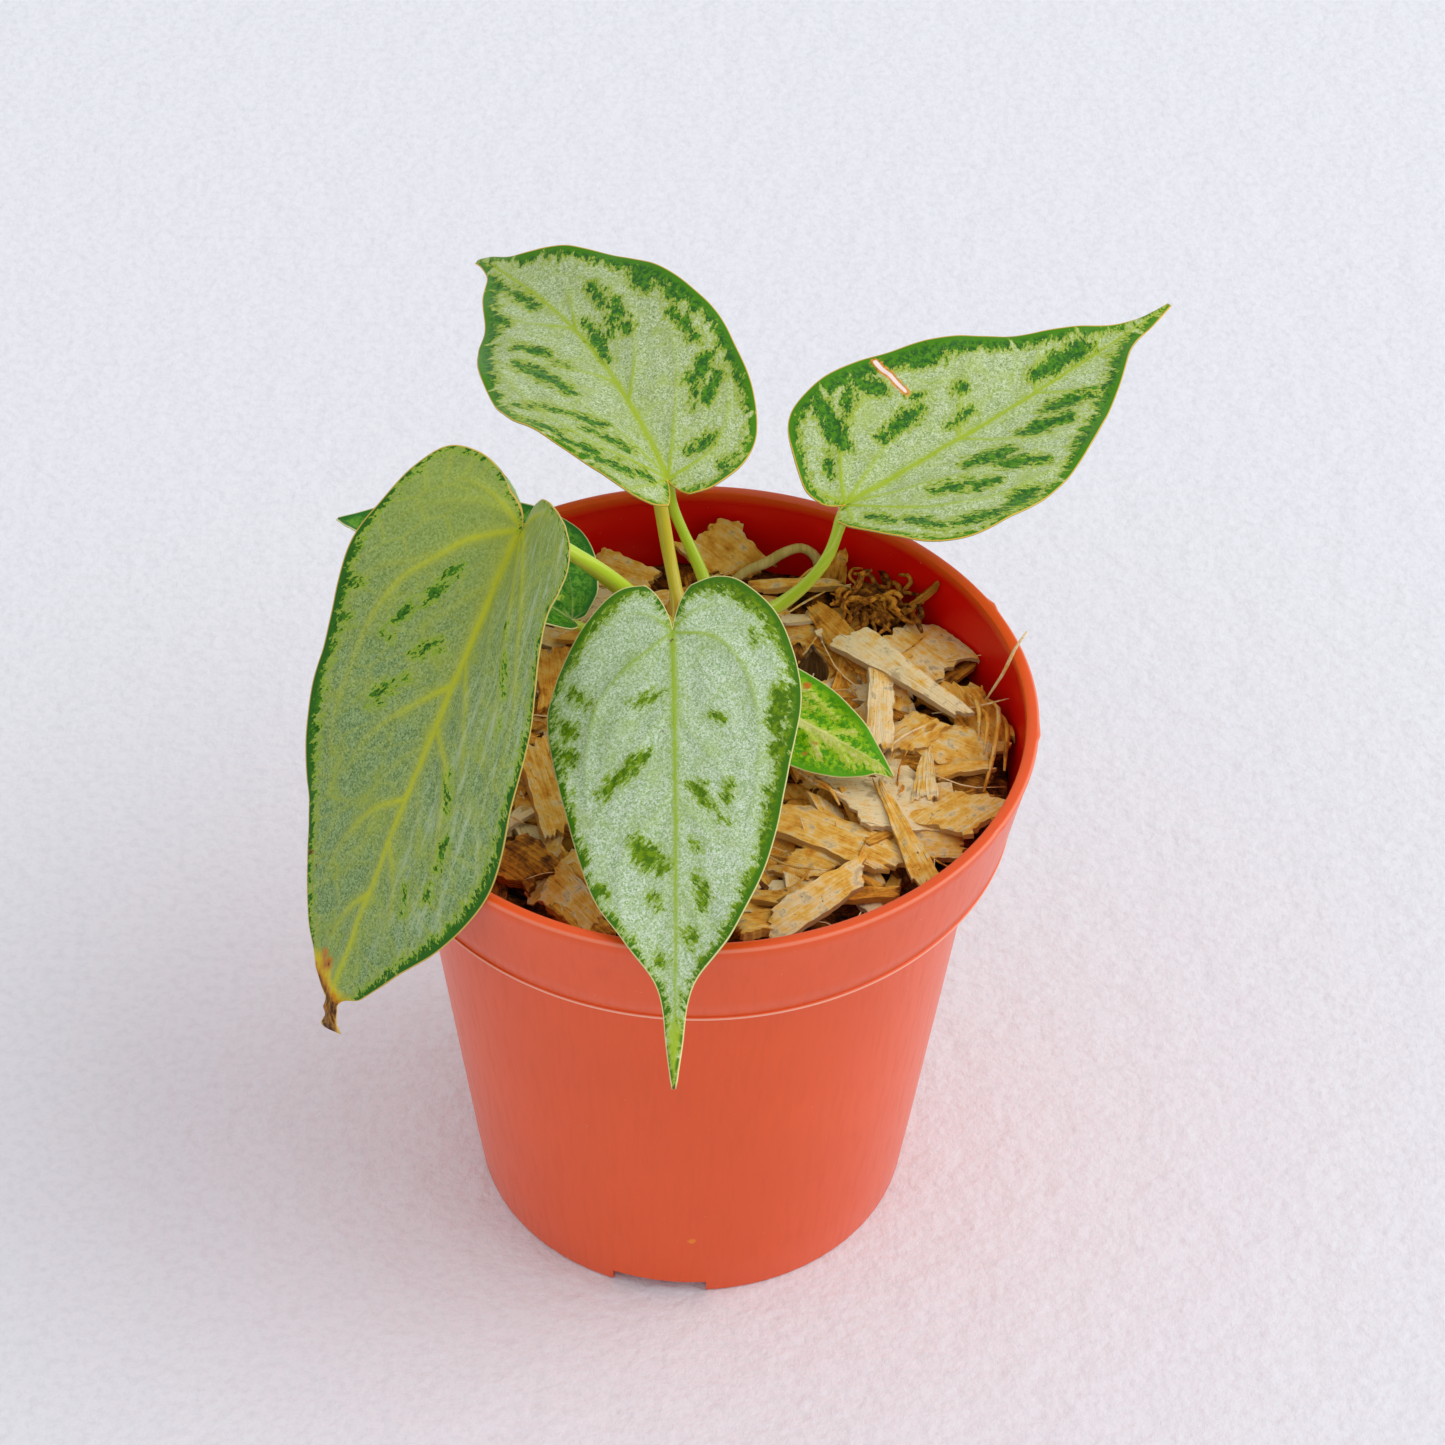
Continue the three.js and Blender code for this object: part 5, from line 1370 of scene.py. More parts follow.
def make_pot(settings):
    """The nursery pot: turned, notched and slotted, with an uneven rim and a painted highlight on
    the collar's bead and the lip's edge
    """
    obj = turned(pot_profile(settings), POT_SEGMENTS)
    for i in range(NOTCH["count"]):
        azimuth = math.radians(NOTCH["azimuth"]) + i / NOTCH["count"] * 2 * math.pi
        cut_box(obj, NOTCH["width"], 4 * FOOT_RING, NOTCH["height"] + 1, azimuth, BASE_RADIUS, -1)
    for i in range(DRAIN_SLOT["count"]):
        azimuth = (i + 0.5) / DRAIN_SLOT["count"] * 2 * math.pi
        cut_box(obj, DRAIN_SLOT["width"], DRAIN_SLOT["length"], CHANNEL_HEIGHT, azimuth,
                DRAIN_SLOT["radius"], CHANNEL_HEIGHT - FLOOR)
    points = points_of(obj.data)
    radius, height = np.hypot(points[:, 0], points[:, 1]) / MM, points[:, 2] / MM
    top, rim = settings.height / MM, settings.rim_radius / MM
    wall_radius = np.interp(height, [0, STEP_HEIGHT, STEP_HEIGHT + 1.2, top],
                            [BASE_RADIUS, SHOULDER_RADIUS, COLLAR_FOOT_RADIUS, rim])
    # The inner wall, which the material gives a painted shade colour
    inside = (radius < wall_radius - 0.8) & (height > FLOOR) & (height < top - LIP_DEPTH + 0.2)
    bead = (np.abs(height - STEP_HEIGHT - 0.45) < 0.3) & (radius > COLLAR_FOOT_RADIUS)
    lip = (radius > rim - 0.4) & (height > top - 0.7) & (height < top - 0.1)
    note(obj.data, "inside", inside)
    # Painted highlight: full on the collar's bead, weaker on the lip's outer edge
    note(obj.data, "painted_highlight", bead + 0.35 * lip)
    angle = np.arctan2(points[:, 1], points[:, 0])
    for azimuth, out in RIM_BURRS:
        near = np.exp(-((angle - math.radians(azimuth)) * rim / BURR_WIDTH) ** 2)
        spread(points, 1 + near * lip * out / rim)
    rise = smooth(points[:, 2] / (110 * MM))
    spread(points, 1 + rise * (0.0016 * np.sin(2 * angle + 0.6) + 0.001 * np.sin(3 * angle + 2)))
    move_points(obj.data, points)
    round_off(obj, 35)
    return hand_in(obj, "pot_shell", pot_material(settings), "pot_plastic", "pot")


def inner_radius(height):
    """Inner radius of the pot at a height, less a little room"""
    share = (height - STEP_HEIGHT) / (POT_HEIGHT - STEP_HEIGHT)
    return mix(COLLAR_FOOT_RADIUS, RIM_RADIUS, np.clip(share, 0, 1)) - BED_ROOM


def make_mix(settings):
    """The buried potting mix, whose crumbly top shows between the chips"""
    floor, ledge, top, top_radius = 5.2, 92.6, 96, 54
    profile = [(DISC_RADIUS - CHANNEL_SLOPE - 0.4, FLOOR + 0.4), (DISC_RADIUS - 0.4, floor),
               (BASE_RADIUS - 1, floor), (SHOULDER_RADIUS - BED_ROOM, ledge),
               (COLLAR_FOOT_RADIUS - BED_ROOM, ledge), (inner_radius(top), top)]
    profile += [(radius, top + 0.6 + 2.6 * (1 - radius / top_radius))
                for radius in np.arange(top_radius, 0.9, -1.5)]
    obj = turned(profile, 128)
    points = points_of(obj.data) / MM
    lumps = ripple(points, 5.5, 3) * 1.6 + ripple(points, 2.2, 8) * 0.9
    points[:, 2] += smooth((points[:, 2] - 95) / 1.5) * lumps
    move_points(obj.data, points * MM)
    note(obj.data, "grain", *(points + 0.8 * np.column_stack([lumps, -lumps, lumps])).T)
    note(obj.data, "tone", 0.02 + 0.16 * ripple(points, 4.0, 21))
    obj.data.shade_smooth()
    material = wood_material("potting_mix", settings, 0.85)
    return hand_in(obj, "potting_mix", material, "husk_chips", "husk_chip_fill")


def flake_frame(start, end, roll):
    """Length, sideways and upward directions of a chip from start to end"""
    start, end = np.array(start, dtype=float), np.array(end, dtype=float)
    run = end - start
    length = float(np.linalg.norm(run))
    along = run / length
    level = unit(np.cross((0, 0, 1), along))
    turn = math.radians(roll)
    side = level * math.cos(turn) + np.cross(along, level) * math.sin(turn)
    return (start + end) / 2, length, along, side, np.cross(along, side)


def shape_flake(obj, spec, seed, crude=False):
    """Moves the points of a thickened grid into one split, ragged and slightly bowed chip"""
    start, end, width, thick, roll, tone, ragged = spec
    centre, length, along, side, up = flake_frame(start, end, roll)
    grid = points_of(obj.data)
    u, v, w = np.clip(grid[:, 0], -1, 1), np.clip(grid[:, 1], -1, 1), np.sign(grid[:, 2])
    rng = random.Random(seed)
    wave = [rng.uniform(0, 50) for _ in range(6)]

    def line(values, scale, offset):
        return np.array([noise.noise(Vector((value * scale + offset, offset, 0.5)))
                         for value in values])

    half = mix(width[0], width[1], (u + 1) / 2) / 2
    half *= 1 + 0.2 * line(u, 1.6, wave[0]) + 0.14 * line(u + 3 * np.sign(v), 5.5, wave[1])
    end_jag = ragged * min(6.0, 0.3 * length) * (line(v, 1.3, wave[2]) + line(v, 5.5, wave[3]))
    skew = rng.uniform(-0.35, 0.35) * (width[0] + width[1]) / 2
    x = u * length / 2 + np.abs(u) ** 3 * np.sign(u) * end_jag * np.sign(u) + skew * v * np.abs(u)
    y = v * half
    bow, cup = rng.uniform(-0.2, 0.6), rng.uniform(-0.6, 0.4)
    twist = rng.uniform(-0.16, 0.16)
    z = bow * (1 - u * u) + cup * (v * v - 0.4) * min(1.0, half.mean() / 4) + twist * u * v * half
    z += 0.3 * line(u * 2 + v, 1.1, wave[4])
    taper = 1 - 0.3 * np.abs(u) ** 8
    z += w * thick * FLAKE_THICKNESS / 2 * taper
    if not crude:
        ridges = line(v, 7.0, wave[5]) * 0.16 + line(v + 0.12 * u, 16.0, wave[1]) * 0.1
        z += ridges * (w > 0)
    place = centre + x[:, None] * along + y[:, None] * side + z[:, None] * up
    radius = np.hypot(place[:, 0], place[:, 1])
    spread(place, np.minimum(1, inner_radius(place[:, 2]) / np.maximum(radius, 1e-6)))
    place[:, 2] = np.minimum(place[:, 2], BED_TOP_LIMIT)
    move_points(obj.data, place * MM)
    offset = rng.uniform(0, 400)
    note(obj.data, "grain", x + offset, y + w * 30, offset)
    note(obj.data, "tone", tone + 0.05 * line(u, 1.0, wave[0]))
    obj.data.shade_smooth()


def flake_blank(name, length_cells, width_cells):
    """A thickened grid, from which chips are copied and shaped"""
    blank = primitive(bpy.ops.mesh.primitive_grid_add, x_subdivisions=length_cells,
                      y_subdivisions=width_cells, size=2)
    blank.name = name
    finish_modifier(blank, "SOLIDIFY", thickness=0.2, offset=0)
    return blank


def copy_of(blank, name):
    obj = bpy.data.objects.new(name, blank.data.copy())
    bpy.context.collection.objects.link(obj)
    return obj


def towards(heading, rise):
    """A step of 1 mm in a level direction, with a rise"""
    return np.array([math.cos(heading), math.sin(heading), rise])


def scattered_specs(count, seed):
    """Seeded chips, two in three on a sunflower spiral; later ones lie higher and are smaller"""
    rng = random.Random(seed)
    specs = []
    for i in range(count):
        if i % 3:
            radius = SCATTER_RADII[0] * math.sqrt((i * 0.618034 + 0.5) % count / count)
        else:
            radius = SCATTER_RADII[1] * math.sqrt(rng.random())
        angle = i * GOLDEN_ANGLE
        layer = i / count
        height = mix(*SCATTER_HEIGHTS, layer) + rng.uniform(-0.7, 0.7)
        length = rng.triangular(5, 22, 10) * mix(1.1, 0.75, layer)
        heading = rng.uniform(0, 2 * math.pi)
        tilt = rng.gauss(0, 0.13)
        run = towards(heading, tilt) * length / 2
        centre = np.array([radius * math.cos(angle), radius * math.sin(angle), height])
        width = min(length * 0.8, rng.triangular(1.4, 9, 3.6))
        # Lower chips get darker tones, partly as painted shade in the gaps between the upper chips
        tone = min(1.0, max(0.0, rng.gauss(mix(*SCATTER_TONES, layer), 0.26)))
        specs.append((centre - run, centre + run, (width, width * rng.uniform(0.4, 1.05)),
                      rng.uniform(0.8, 2), rng.uniform(-26, 26), tone, rng.uniform(0.2, 0.9)))
    return specs


def make_chips(settings):
    """The bed: the larger chips of the list and the scattered small ones, joined"""
    fine = flake_blank("chip_blank", 44, 18)
    plain = flake_blank("flake_blank", 7, 3)
    chips = []
    for i, spec in enumerate(CHIPS):
        chips.append(copy_of(fine, f"chip_{i}"))
        shape_flake(chips[-1], spec, 100 + i)
    for i, spec in enumerate(scattered_specs(settings.chip_count, settings.seed)):
        chips.append(copy_of(plain, f"flake_{i}"))
        shape_flake(chips[-1], spec, 900 + i, crude=True)
    for blank in (fine, plain):
        bpy.data.objects.remove(blank, do_unlink=True)
    obj = join(chips)
    round_off(obj, 32)
    material = wood_material("husk_chips", settings)
    return hand_in(obj, "husk_chips", material, "husk_chips", "husk_chip_fill")


def fibre_paths(count, seed):
    """Loose threads: some lie over the chips, and a curly clump of them sits at the back right"""
    rng = random.Random(seed)
    paths = []
    for _ in range(count):
        angle, radius = rng.uniform(0, 2 * math.pi), 54 * math.sqrt(rng.random())
        middle = np.array([radius * math.cos(angle), radius * math.sin(angle),
                           rng.uniform(101, 103.4)])
        heading = rng.uniform(0, 2 * math.pi)
        reach = rng.uniform(2, 7)
        run = towards(heading, rng.gauss(0, 0.2)) * reach
        side = np.array([-run[1], run[0], rng.uniform(0, 2)]) * rng.uniform(-0.3, 0.3)
        paths.append(([middle - run, middle + side, middle + run], rng.uniform(0.12, 0.3),
                      rng.uniform(0.3, 0.9)))
    for _ in range(CLUMP["count"]):
        points = [np.array([rng.gauss(*CLUMP["x"]), rng.gauss(*CLUMP["y"]),
                            rng.uniform(101.5, 105)])]
        heading = rng.uniform(0, 2 * math.pi)
        for _ in range(4):
            heading += rng.uniform(-1.1, 1.1)
            step = towards(heading, rng.uniform(-0.6, 0.6))
            points.append(points[-1] + step * rng.uniform(1.2, 2.6))
        paths.append((points, rng.uniform(0.3, 0.8), rng.choice(CLUMP["tones"])))
    return paths + STRAWS


def make_fibres(settings):
    """Threads and straws, thinner at their ends; only the straw over the rim leaves the pot"""
    threads = []
    paths = fibre_paths(settings.fibre_count, settings.seed + 5)
    for i, (points, radius, tone) in enumerate(paths):
        path = smooth_path(points, 9 if len(points) > 3 else 6)
        if path[-1, 2] < POT_HEIGHT - LIP_DEPTH:
            out = np.hypot(path[:, 0], path[:, 1])
            spread(path, np.minimum(1, inner_radius(path[:, 2]) / out))
        radii = radius * (1 - 0.5 * np.linspace(-1, 1, len(path)) ** 2)
        obj = tube(f"thread_{i}", path, radii, 0)
        points = points_of(obj.data) / MM
        share, _ = nearest_on(path, points)
        note(obj.data, "grain", share * 12 + 7 * i, points[:, 2], points[:, 0])
        note(obj.data, "tone", tone)
        obj.data.shade_smooth()
        threads.append(obj)
    obj = join(threads)
    material = wood_material("husk_threads", settings, 0.8)
    return hand_in(obj, "husk_threads", material, "husk_chips", "husk_chip_fill")


def make_crown():
    """A short stem, ringed by the scars of old leaves, with a brown bark skin"""
    foot, shoulder, radius = CROWN["foot"], CROWN["shoulder"], CROWN["radius"]
    profile = [(radius * (1 + 0.05 * math.sin(height * 2.1)), height)
               for height in np.linspace(foot, shoulder, 22)]
    profile += [(radius * math.cos(angle), shoulder + radius * math.sin(angle))
                for angle in np.radians(np.arange(12, 84, 12))]
    obj = turned(profile, 48)
    points = points_of(obj.data) / MM
    angle = np.arctan2(points[:, 1], points[:, 0])
    spread(points, 1 + 0.05 * np.sin(3 * angle + points[:, 2]) + 0.04 * ripple(points, 2.0, 4))
    note(obj.data, "grain", points[:, 2], angle * radius, 0)
    move_points(obj.data, (points + (CROWN["x"], CROWN["y"], 0)) * MM)
    obj.data.shade_smooth()
    material = bark_material("crown_bark", "#5b3a22", "#a0703c", "#c9a468")
    return hand_in(obj, "crown", material, "crown", "crown_stem")


def dome_leads(azimuth, rise):
    """Two points in the crown's dome and just off it, in the direction a stalk leaves it"""
    a, e = math.radians(azimuth), math.radians(rise)
    out = np.array([math.cos(e) * math.cos(a), math.cos(e) * math.sin(a), math.sin(e)])
    middle = np.array([CROWN["x"], CROWN["y"], CROWN["shoulder"]])
    return [middle + (CROWN["radius"] + beyond) * out for beyond in STALK_LEADS]


def stalk_piece(name, path, radii, material, slot, node):
    """A stem along a path, slightly ridged, with its own grain along and round it"""
    obj = tube(name, path, radii, 6)
    points = points_of(obj.data) / MM
    share, _ = nearest_on(path, points)
    steps = np.linspace(0, 1, len(path))
    centre, slope = (np.column_stack([np.interp(share, steps, column) for column in values.T])
                     for values in (path, np.gradient(path, axis=0)))
    slope = unit(slope)
    across = unit(np.cross(slope, (0.31, 0.22, 0.93)))
    offset = points - centre
    around = np.arctan2((offset * np.cross(slope, across)).sum(axis=1),
                        (offset * across).sum(axis=1))
    ridge = 0.04 * np.sin(2 * around) + 0.02 * np.sin(5 * around)
    move_points(obj.data, (centre + offset * (1 + ridge[:, None])) * MM)
    note(obj.data, "share", share)
    note(obj.data, "grain", share * run_lengths(path)[-1], 1.6 * np.cos(around),
         1.6 * np.sin(around))
    obj.data.shade_smooth()
    return hand_in(obj, name, material, slot, node)


def make_stalks(settings):
    """The six leaf stalks, from the crown to just inside their blades"""
    material = stalk_material("leaf_stalk", settings.stalk, "#c4b43c", "#dcea66")
    for name, stalk in STALKS.items():
        seat, normal = Blade(name).seat()
        thick, thin = stalk["radius"]
        arrival = unit(seat - np.array(stalk["via"][-1]))
        lean = thin * math.sqrt(1 - float(arrival @ normal) ** 2)
        end = seat - normal * (lean - STALK_SINK)
        leads = dome_leads(stalk["azimuth"], stalk["rise"])
        path = smooth_path([*leads, *stalk["via"], end], 56)
        share = np.linspace(0, 1, len(path))
        radii = mix(thick, thin, np.minimum(1, share / STALK_TAPER_SHARE))
        knee = np.exp(-((share - KNEE["share"]) / KNEE["reach"]) ** 2)
        radii = radii * (1 + KNEE["swell"] * knee)
        radii *= 1 + 0.5 * np.exp(-(share / 0.07) ** 2)
        stalk_piece(f"stalk_{name}", path, radii, material, "leaf_stalk", f"petiole_{name}")


def make_old_stalk():
    """The stub of a cut stalk, thick and brown where its sheath is"""
    leads = dome_leads(OLD_STALK["azimuth"], OLD_STALK["rise"])
    path = smooth_path([*leads, *OLD_STALK["via"], OLD_STALK["end"]], 48)
    share = np.linspace(0, 1, len(path))
    radii = mix(*OLD_STALK["radius"], np.minimum(1, share / OLD_STALK["sheath_share"]))
    radii *= 1 + 0.35 * np.exp(-(share / 0.1) ** 2)
    material = stalk_material("cut_stalk", "#e6d23a", "#c8762a", "#f4e27c")
    return stalk_piece("old_cut_stalk", path, radii, material, "cut_stalk", "old_cut_petiole")


def make_scale():
    """A dry scale leaf: a cupped grid that narrows to its tip, thickened to a thin shell"""
    obj = primitive(bpy.ops.mesh.primitive_grid_add, x_subdivisions=18, y_subdivisions=36, size=2)
    grid = points_of(obj.data)
    v, share = grid[:, 0], (grid[:, 1] + 1) / 2
    swell = np.sin(math.pi * np.clip((share - 0.12) / 0.9, 0, 1)) ** 0.8
    half = np.maximum(0.35, SCALE_LEAF["width"] / 2 * swell) + 0.8 * np.exp(-(share / 0.2) ** 2)
    x = v * half
    y = SCALE_LEAF["cup"] * share * (1 - v * v) + 0.25 * np.sin(9 * share) * v
    z = share * SCALE_LEAF["length"] + 0.25 * np.sin(5 * v) * share
    lean, turn = math.radians(SCALE_LEAF["lean"]), math.radians(SCALE_LEAF["azimuth"])
    y, z = y * math.cos(lean) - z * math.sin(lean), y * math.sin(lean) + z * math.cos(lean)
    x, y = x * math.cos(turn) - y * math.sin(turn), x * math.sin(turn) + y * math.cos(turn)
    place = np.column_stack([x, y, z]) + np.array(SCALE_LEAF["foot"])
    move_points(obj.data, place * MM)
    note(obj.data, "grain", v * 6, share * 14, 0)
    finish_modifier(obj, "SOLIDIFY", thickness=0.5 * MM, offset=0)
    obj.data.shade_smooth()
    material = bark_material("dry_scale", "#3b2a14", "#6f5124", "#a98a4c", 0.7)
    return hand_in(obj, "dry_scale_leaf", material, "dry_scale", "dry_cataphyll")


def make_root():
    """A pale root that arches out of the bed and back into it"""
    path = smooth_path(ROOT_POINTS, 40)
    radii = ROOT_RADIUS * (1.05 + 0.06 * np.sin(np.linspace(0, 17, 40)))
    material = bark_material("root_skin", "#c0a650", "#e0c878", "#f2e4ac", 0.22)
    obj = tube("surface_root", path, radii, 4)
    points = points_of(obj.data) / MM
    share, _ = nearest_on(path, points)
    note(obj.data, "grain", share * 36, points[:, 2] * 2, points[:, 0])
    obj.data.shade_smooth()
    return hand_in(obj, "pale_root", material, "root", "surface_root")


def leaf_looks(settings):
    """How each leaf differs: the large ones silver, the left one older, the small ones green"""
    silver = {
        "dark_ground": settings.silver_deep, "light_ground": settings.silver, "contrast": 1.9,
        "haze": 0.42, "haze_colour": "#a3bb5e", "vein": settings.vein, "vein_strength": 1.15,
        "vein_over": 0.0, "net": 0.16, "core": settings.green, "core_light": "#759608",
        "border": "#3e7406", "fringe_colour": "#8fae26", "fringe": 0.7, "fringe_strength": 0.75,
        "ragged": 0.62, "rust": "#6a3d1c", "rim": "#ecdf96", "freckles": 0.3, "under": "#8fb070",
        "under_light": "#a9c48c", "gloss": 0.48, "gloss_core": 0.36, "specular": 0.15,
    }
    front = dict(silver, tip_glow=(72, "#aac42c"), contrast=2.1)
    sunny = dict(silver, dark_ground="#76943e", light_ground="#d8e3b8", haze=0.5,
                 haze_colour="#a6b850", vein_strength=1.35, vein="#a3ba1c", net=0.22,
                 rim="#eab944", freckles=0.85, core="#27601a", core_light="#4f8a0c",
                 border="#478404", fringe=0.9, fringe_colour="#98ac14")
    # The old leaf's pale streak colour is a painted highlight on its folded half
    old = dict(silver, dark_ground="#4d6e38", light_ground="#a4ba7c", haze=0.55,
               haze_colour="#98a83a", vein="#bcc022", vein_strength=1.1, ragged=0.56,
               rim="#e2bb5a", net=0.2, freckles=0.6, dry_tip=True, painted_sheen="#bccdaa",
               core="#24560a", core_light="#427a14", border="#2c6414", warm_base=34)
    young = dict(silver, dark_ground="#b4c23a", light_ground="#f6f29a", haze=0.35,
                 vein="#eeee94", core="#4a9600", core_light="#92c40a", ragged=0.42,
                 border="#58a400", fringe=0.9, fringe_colour="#b4d01c", rust="#c9761c",
                 gloss=0.36, gloss_core=0.26, vein_over=0.75, vein_strength=0.9, net=0.35)
    shaded = dict(young, core="#357a18", core_light="#6aa42c", border="#2a7420", vein_over=0.35)
    return {"front": front, "back": sunny, "right": dict(sunny, scar=True), "left": old,
            "small_right": young, "small_left": shaded}


def make_leaves(settings):
    """The six blades, each with its own skin"""
    looks = leaf_looks(settings)
    for name in LEAVES:
        small = name.startswith("small")
        rows, columns = (96, 56) if small else (200, 116)
        vein_width = 0.3 if small else 0.8 if name == "left" else 0.42
        obj = leaf_mesh(name, rows, columns, settings.thickness / MM, vein_width)
        material = leaf_material(f"leaf_{name}", looks[name])
        slot = "green_blade" if small else "silver_blade"
        hand_in(obj, f"leaf_{name}", material, slot, f"blade_{name}")


def make_stage(settings):
    """The floor, the even light, the two lamps and the camera"""
    floor = primitive(bpy.ops.mesh.primitive_plane_add, size=6, location=(0, 0, -0.00005))
    settle(floor)
    floor.name = "floor"
    floor.data.materials.append(floor_material(settings))

    scene = bpy.context.scene
    scene.view_settings.view_transform = "Standard"
    world = bpy.data.worlds.new("studio")
    world.use_nodes = True
    back = world.node_tree.nodes["Background"]
    back.inputs["Color"].default_value = (0.93, 0.95, 1.0, 1)
    back.inputs["Strength"].default_value = settings.sky
    scene.world = world
    for name, kind, place, breadth, power in (
            ("key", "SUN", (1.0, -0.12, 1.1), math.radians(50), settings.key),
            ("side", "AREA", (1.3, 0.25, 0.55), 1.1, settings.side)):
        data = bpy.data.lights.new(name, kind)
        data.energy = power
        setattr(data, "angle" if kind == "SUN" else "size", breadth)
        light = bpy.data.objects.new(name, data)
        light.location = place
        aim = Vector((0, 0, 0.08)) - Vector(place)
        light.rotation_euler = aim.to_track_quat("-Z", "Y").to_euler()
        bpy.context.collection.objects.link(light)

    down, turn, tilt = (math.radians(CAMERA[key]) for key in ("down", "turn", "tilt"))
    ahead = Vector((math.sin(turn) * math.cos(down), math.cos(turn) * math.cos(down),
                    -math.sin(down)))
    level = Vector((math.cos(turn), -math.sin(turn), 0))
    upright = level.cross(ahead)
    right = level * math.cos(tilt) + upright * math.sin(tilt)
    up = upright * math.cos(tilt) - level * math.sin(tilt)
    data = bpy.data.cameras.new("camera")
    data.lens, data.sensor_width = CAMERA["lens"], CAMERA["sensor"]
    camera = bpy.data.objects.new("camera", data)
    camera.matrix_world = Matrix.Translation(Vector(CAMERA["place"]) * MM) @ Matrix(
        (right, up, -ahead)).transposed().to_4x4()
    bpy.context.collection.objects.link(camera)
    scene.camera = camera


# ------------------------------------------------------------------------ settings and buttons


def length(name, text, value):
    return bpy.props.FloatProperty(name=name, description=text, default=value, min=0,
                                   unit="LENGTH")


def colour(name, text, value):
    return bpy.props.FloatVectorProperty(name=name, description=text, default=rgb(value), size=4,
                                         subtype="COLOR", min=0, max=1)


class AnthuriumPotSettings(bpy.types.PropertyGroup):
    rim_radius: length("Rim radius", "Outer radius of the pot's lip", RIM_RADIUS * MM)
    height: length("Height", "Height of the pot", POT_HEIGHT * MM)
    wall: length("Wall", "Thickness of the pot's wall", WALL * MM)
    plastic: colour("Plastic", "Main colour of the plastic", "#ec5616")
    # Painted shade: a deeper red for the inner wall than the plastic outside
    inside_painted_shade: colour("Inside", "Colour of the plastic on the inner wall", "#ee0c04")
    plastic_deep: colour("Deep plastic", "Colour of the plastic's darker clouds", "#e65213")


class AnthuriumBedSettings(bpy.types.PropertyGroup):
    chip_count: bpy.props.IntProperty(name="Small chips", description="Number of scattered chips",
                                      default=350, min=0)
    fibre_count: bpy.props.IntProperty(name="Threads", description="Number of loose threads",
                                       default=110, min=0)
    seed: bpy.props.IntProperty(name="Seed", description="Seed of the scatter", default=41)
    darkest: colour("Darkest", "Colour of the darkest crumbs", "#1d120a")
    dark: colour("Dark", "Colour of the dark chips", "#7c4616")
    tan: colour("Tan", "Colour of the tan chips", "#e8982c")
    straw: colour("Straw", "Colour of the straw-coloured chips", "#fdc456")
    cream: colour("Cream", "Colour of the palest chips", "#ffe4b0")


class AnthuriumLeafSettings(bpy.types.PropertyGroup):
    thickness: length("Thickness", "Thickness of a blade", BLADE_THICKNESS * MM)
    silver: colour("Silver", "Light grains of the silver ground", "#e2eed6")
    silver_deep: colour("Deep silver", "Dark grains of the silver ground", "#86a860")
    green: colour("Green", "Dark patches and edge bands", "#4b7204")
    vein: colour("Veins", "Midrib and side veins", "#9bb824")
    stalk: colour("Stalk", "Leaf stalks", "#bcdc2c")


class AnthuriumStageSettings(bpy.types.PropertyGroup):
    sheet: colour("Sheet", "Colour of the floor", "#ececf0")
    key: bpy.props.FloatProperty(name="Key light", description="Strength of the broad key light",
                                 default=0.85, min=0)
    side: bpy.props.FloatProperty(name="Side light",
                                  description="Power of the side light in watts",
                                  default=3.5, min=0)
    sky: bpy.props.FloatProperty(name="Sky", description="Strength of the even light",
                                 default=0.79, min=0)


class ANTHURIUM_OT_pot(bpy.types.Operator):
    """Make the nursery pot"""
    bl_idname = "anthurium.pot"
    bl_label = "Pot"

    def execute(self, context):
        make_pot(context.scene.anthurium_pot)
        return {"FINISHED"}


class ANTHURIUM_OT_mix(bpy.types.Operator):
    """Make the potting mix that fills the pot"""
    bl_idname = "anthurium.potting_mix"
    bl_label = "Potting mix"

    def execute(self, context):
        make_mix(context.scene.anthurium_bed)
        return {"FINISHED"}


class ANTHURIUM_OT_chips(bpy.types.Operator):
    """Make the bed of husk and wood chips"""
    bl_idname = "anthurium.chips"
    bl_label = "Husk chips"

    def execute(self, context):
        make_chips(context.scene.anthurium_bed)
        return {"FINISHED"}


class ANTHURIUM_OT_threads(bpy.types.Operator):
    """Make the loose threads and straws on the bed"""
    bl_idname = "anthurium.threads"
    bl_label = "Threads"

    def execute(self, context):
        make_fibres(context.scene.anthurium_bed)
        return {"FINISHED"}


class ANTHURIUM_OT_crown(bpy.types.Operator):
    """Make the crown, the scale leaf and the root at the foot of the plant"""
    bl_idname = "anthurium.crown"
    bl_label = "Crown, scale and root"

    def execute(self, context):
        make_crown()
        make_scale()
        make_root()
        return {"FINISHED"}


class ANTHURIUM_OT_stalks(bpy.types.Operator):
    """Make the leaf stalks and the stub of the cut one"""
    bl_idname = "anthurium.stalks"
    bl_label = "Stalks"

    def execute(self, context):
        make_stalks(context.scene.anthurium_leaf)
        make_old_stalk()
        return {"FINISHED"}


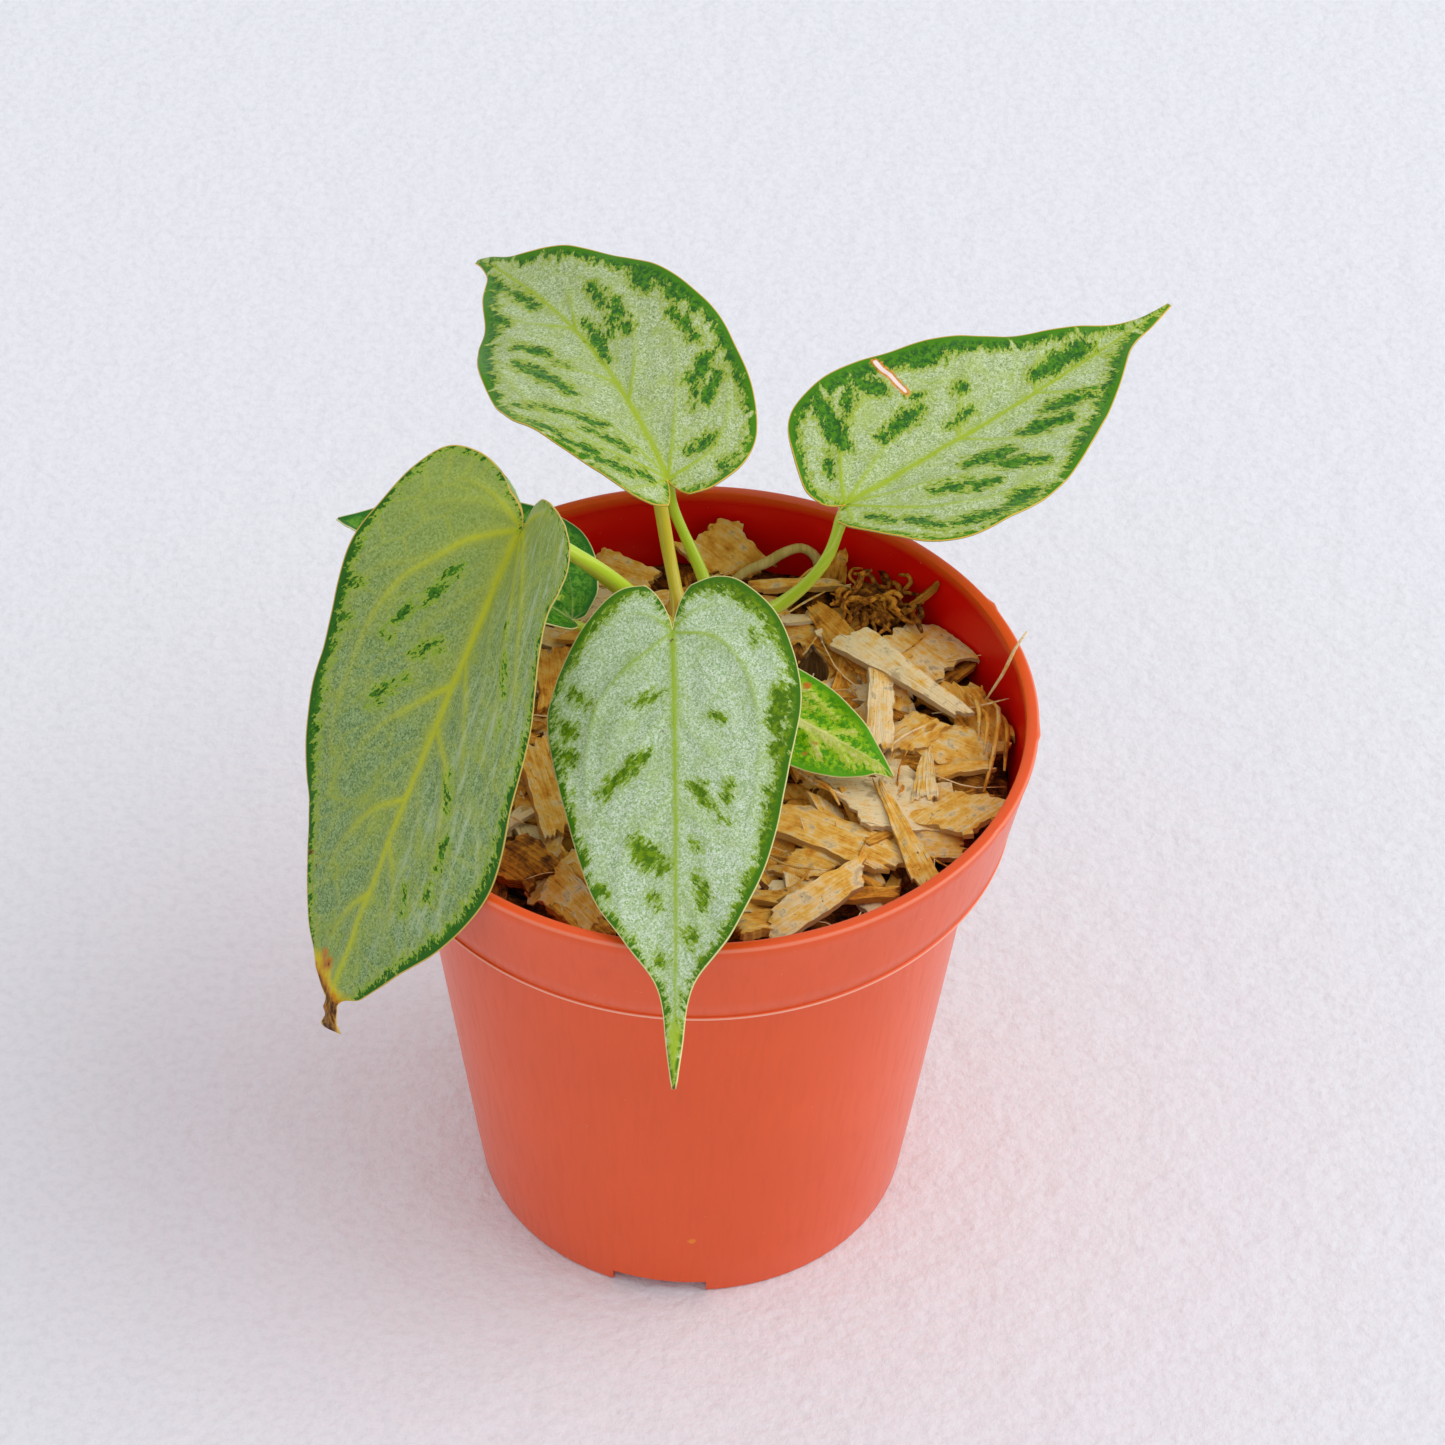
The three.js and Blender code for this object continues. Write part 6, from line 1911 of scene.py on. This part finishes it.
class ANTHURIUM_OT_leaves(bpy.types.Operator):
    """Make the six blades"""
    bl_idname = "anthurium.leaves"
    bl_label = "Leaves"

    def execute(self, context):
        make_leaves(context.scene.anthurium_leaf)
        return {"FINISHED"}


class ANTHURIUM_OT_stage(bpy.types.Operator):
    """Make the floor, the lights and the camera"""
    bl_idname = "anthurium.stage"
    bl_label = "Stage"

    def execute(self, context):
        make_stage(context.scene.anthurium_stage)
        return {"FINISHED"}


OPERATORS = (ANTHURIUM_OT_pot, ANTHURIUM_OT_mix, ANTHURIUM_OT_chips, ANTHURIUM_OT_threads,
             ANTHURIUM_OT_crown, ANTHURIUM_OT_stalks, ANTHURIUM_OT_leaves, ANTHURIUM_OT_stage)
SETTINGS = {"anthurium_pot": AnthuriumPotSettings, "anthurium_bed": AnthuriumBedSettings,
            "anthurium_leaf": AnthuriumLeafSettings, "anthurium_stage": AnthuriumStageSettings}


class ANTHURIUM_PT_panel(bpy.types.Panel):
    """Lists the pieces and their settings"""
    bl_idname = "ANTHURIUM_PT_panel"
    bl_label = "Anthurium"
    bl_space_type = "VIEW_3D"
    bl_region_type = "UI"
    bl_category = "Anthurium"

    def draw(self, context):
        for operator in OPERATORS:
            self.layout.operator(operator.bl_idname)
        for name, kind in SETTINGS.items():
            box = self.layout.box()
            for key in kind.__annotations__:
                box.prop(getattr(context.scene, name), key)


def register():
    for kind in (*SETTINGS.values(), *OPERATORS, ANTHURIUM_PT_panel):
        bpy.utils.register_class(kind)
    for name, kind in SETTINGS.items():
        setattr(bpy.types.Scene, name, bpy.props.PointerProperty(type=kind))


def unregister():
    for name in SETTINGS:
        delattr(bpy.types.Scene, name)
    for kind in reversed((*SETTINGS.values(), *OPERATORS, ANTHURIUM_PT_panel)):
        bpy.utils.unregister_class(kind)


def main():
    register()
    bpy.ops.anthurium.pot()
    bpy.ops.anthurium.potting_mix()
    bpy.ops.anthurium.chips()
    bpy.ops.anthurium.threads()
    bpy.ops.anthurium.crown()
    bpy.ops.anthurium.stalks()
    bpy.ops.anthurium.leaves()
    bpy.ops.anthurium.stage()
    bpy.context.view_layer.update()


if __name__ == "__main__":
    main()
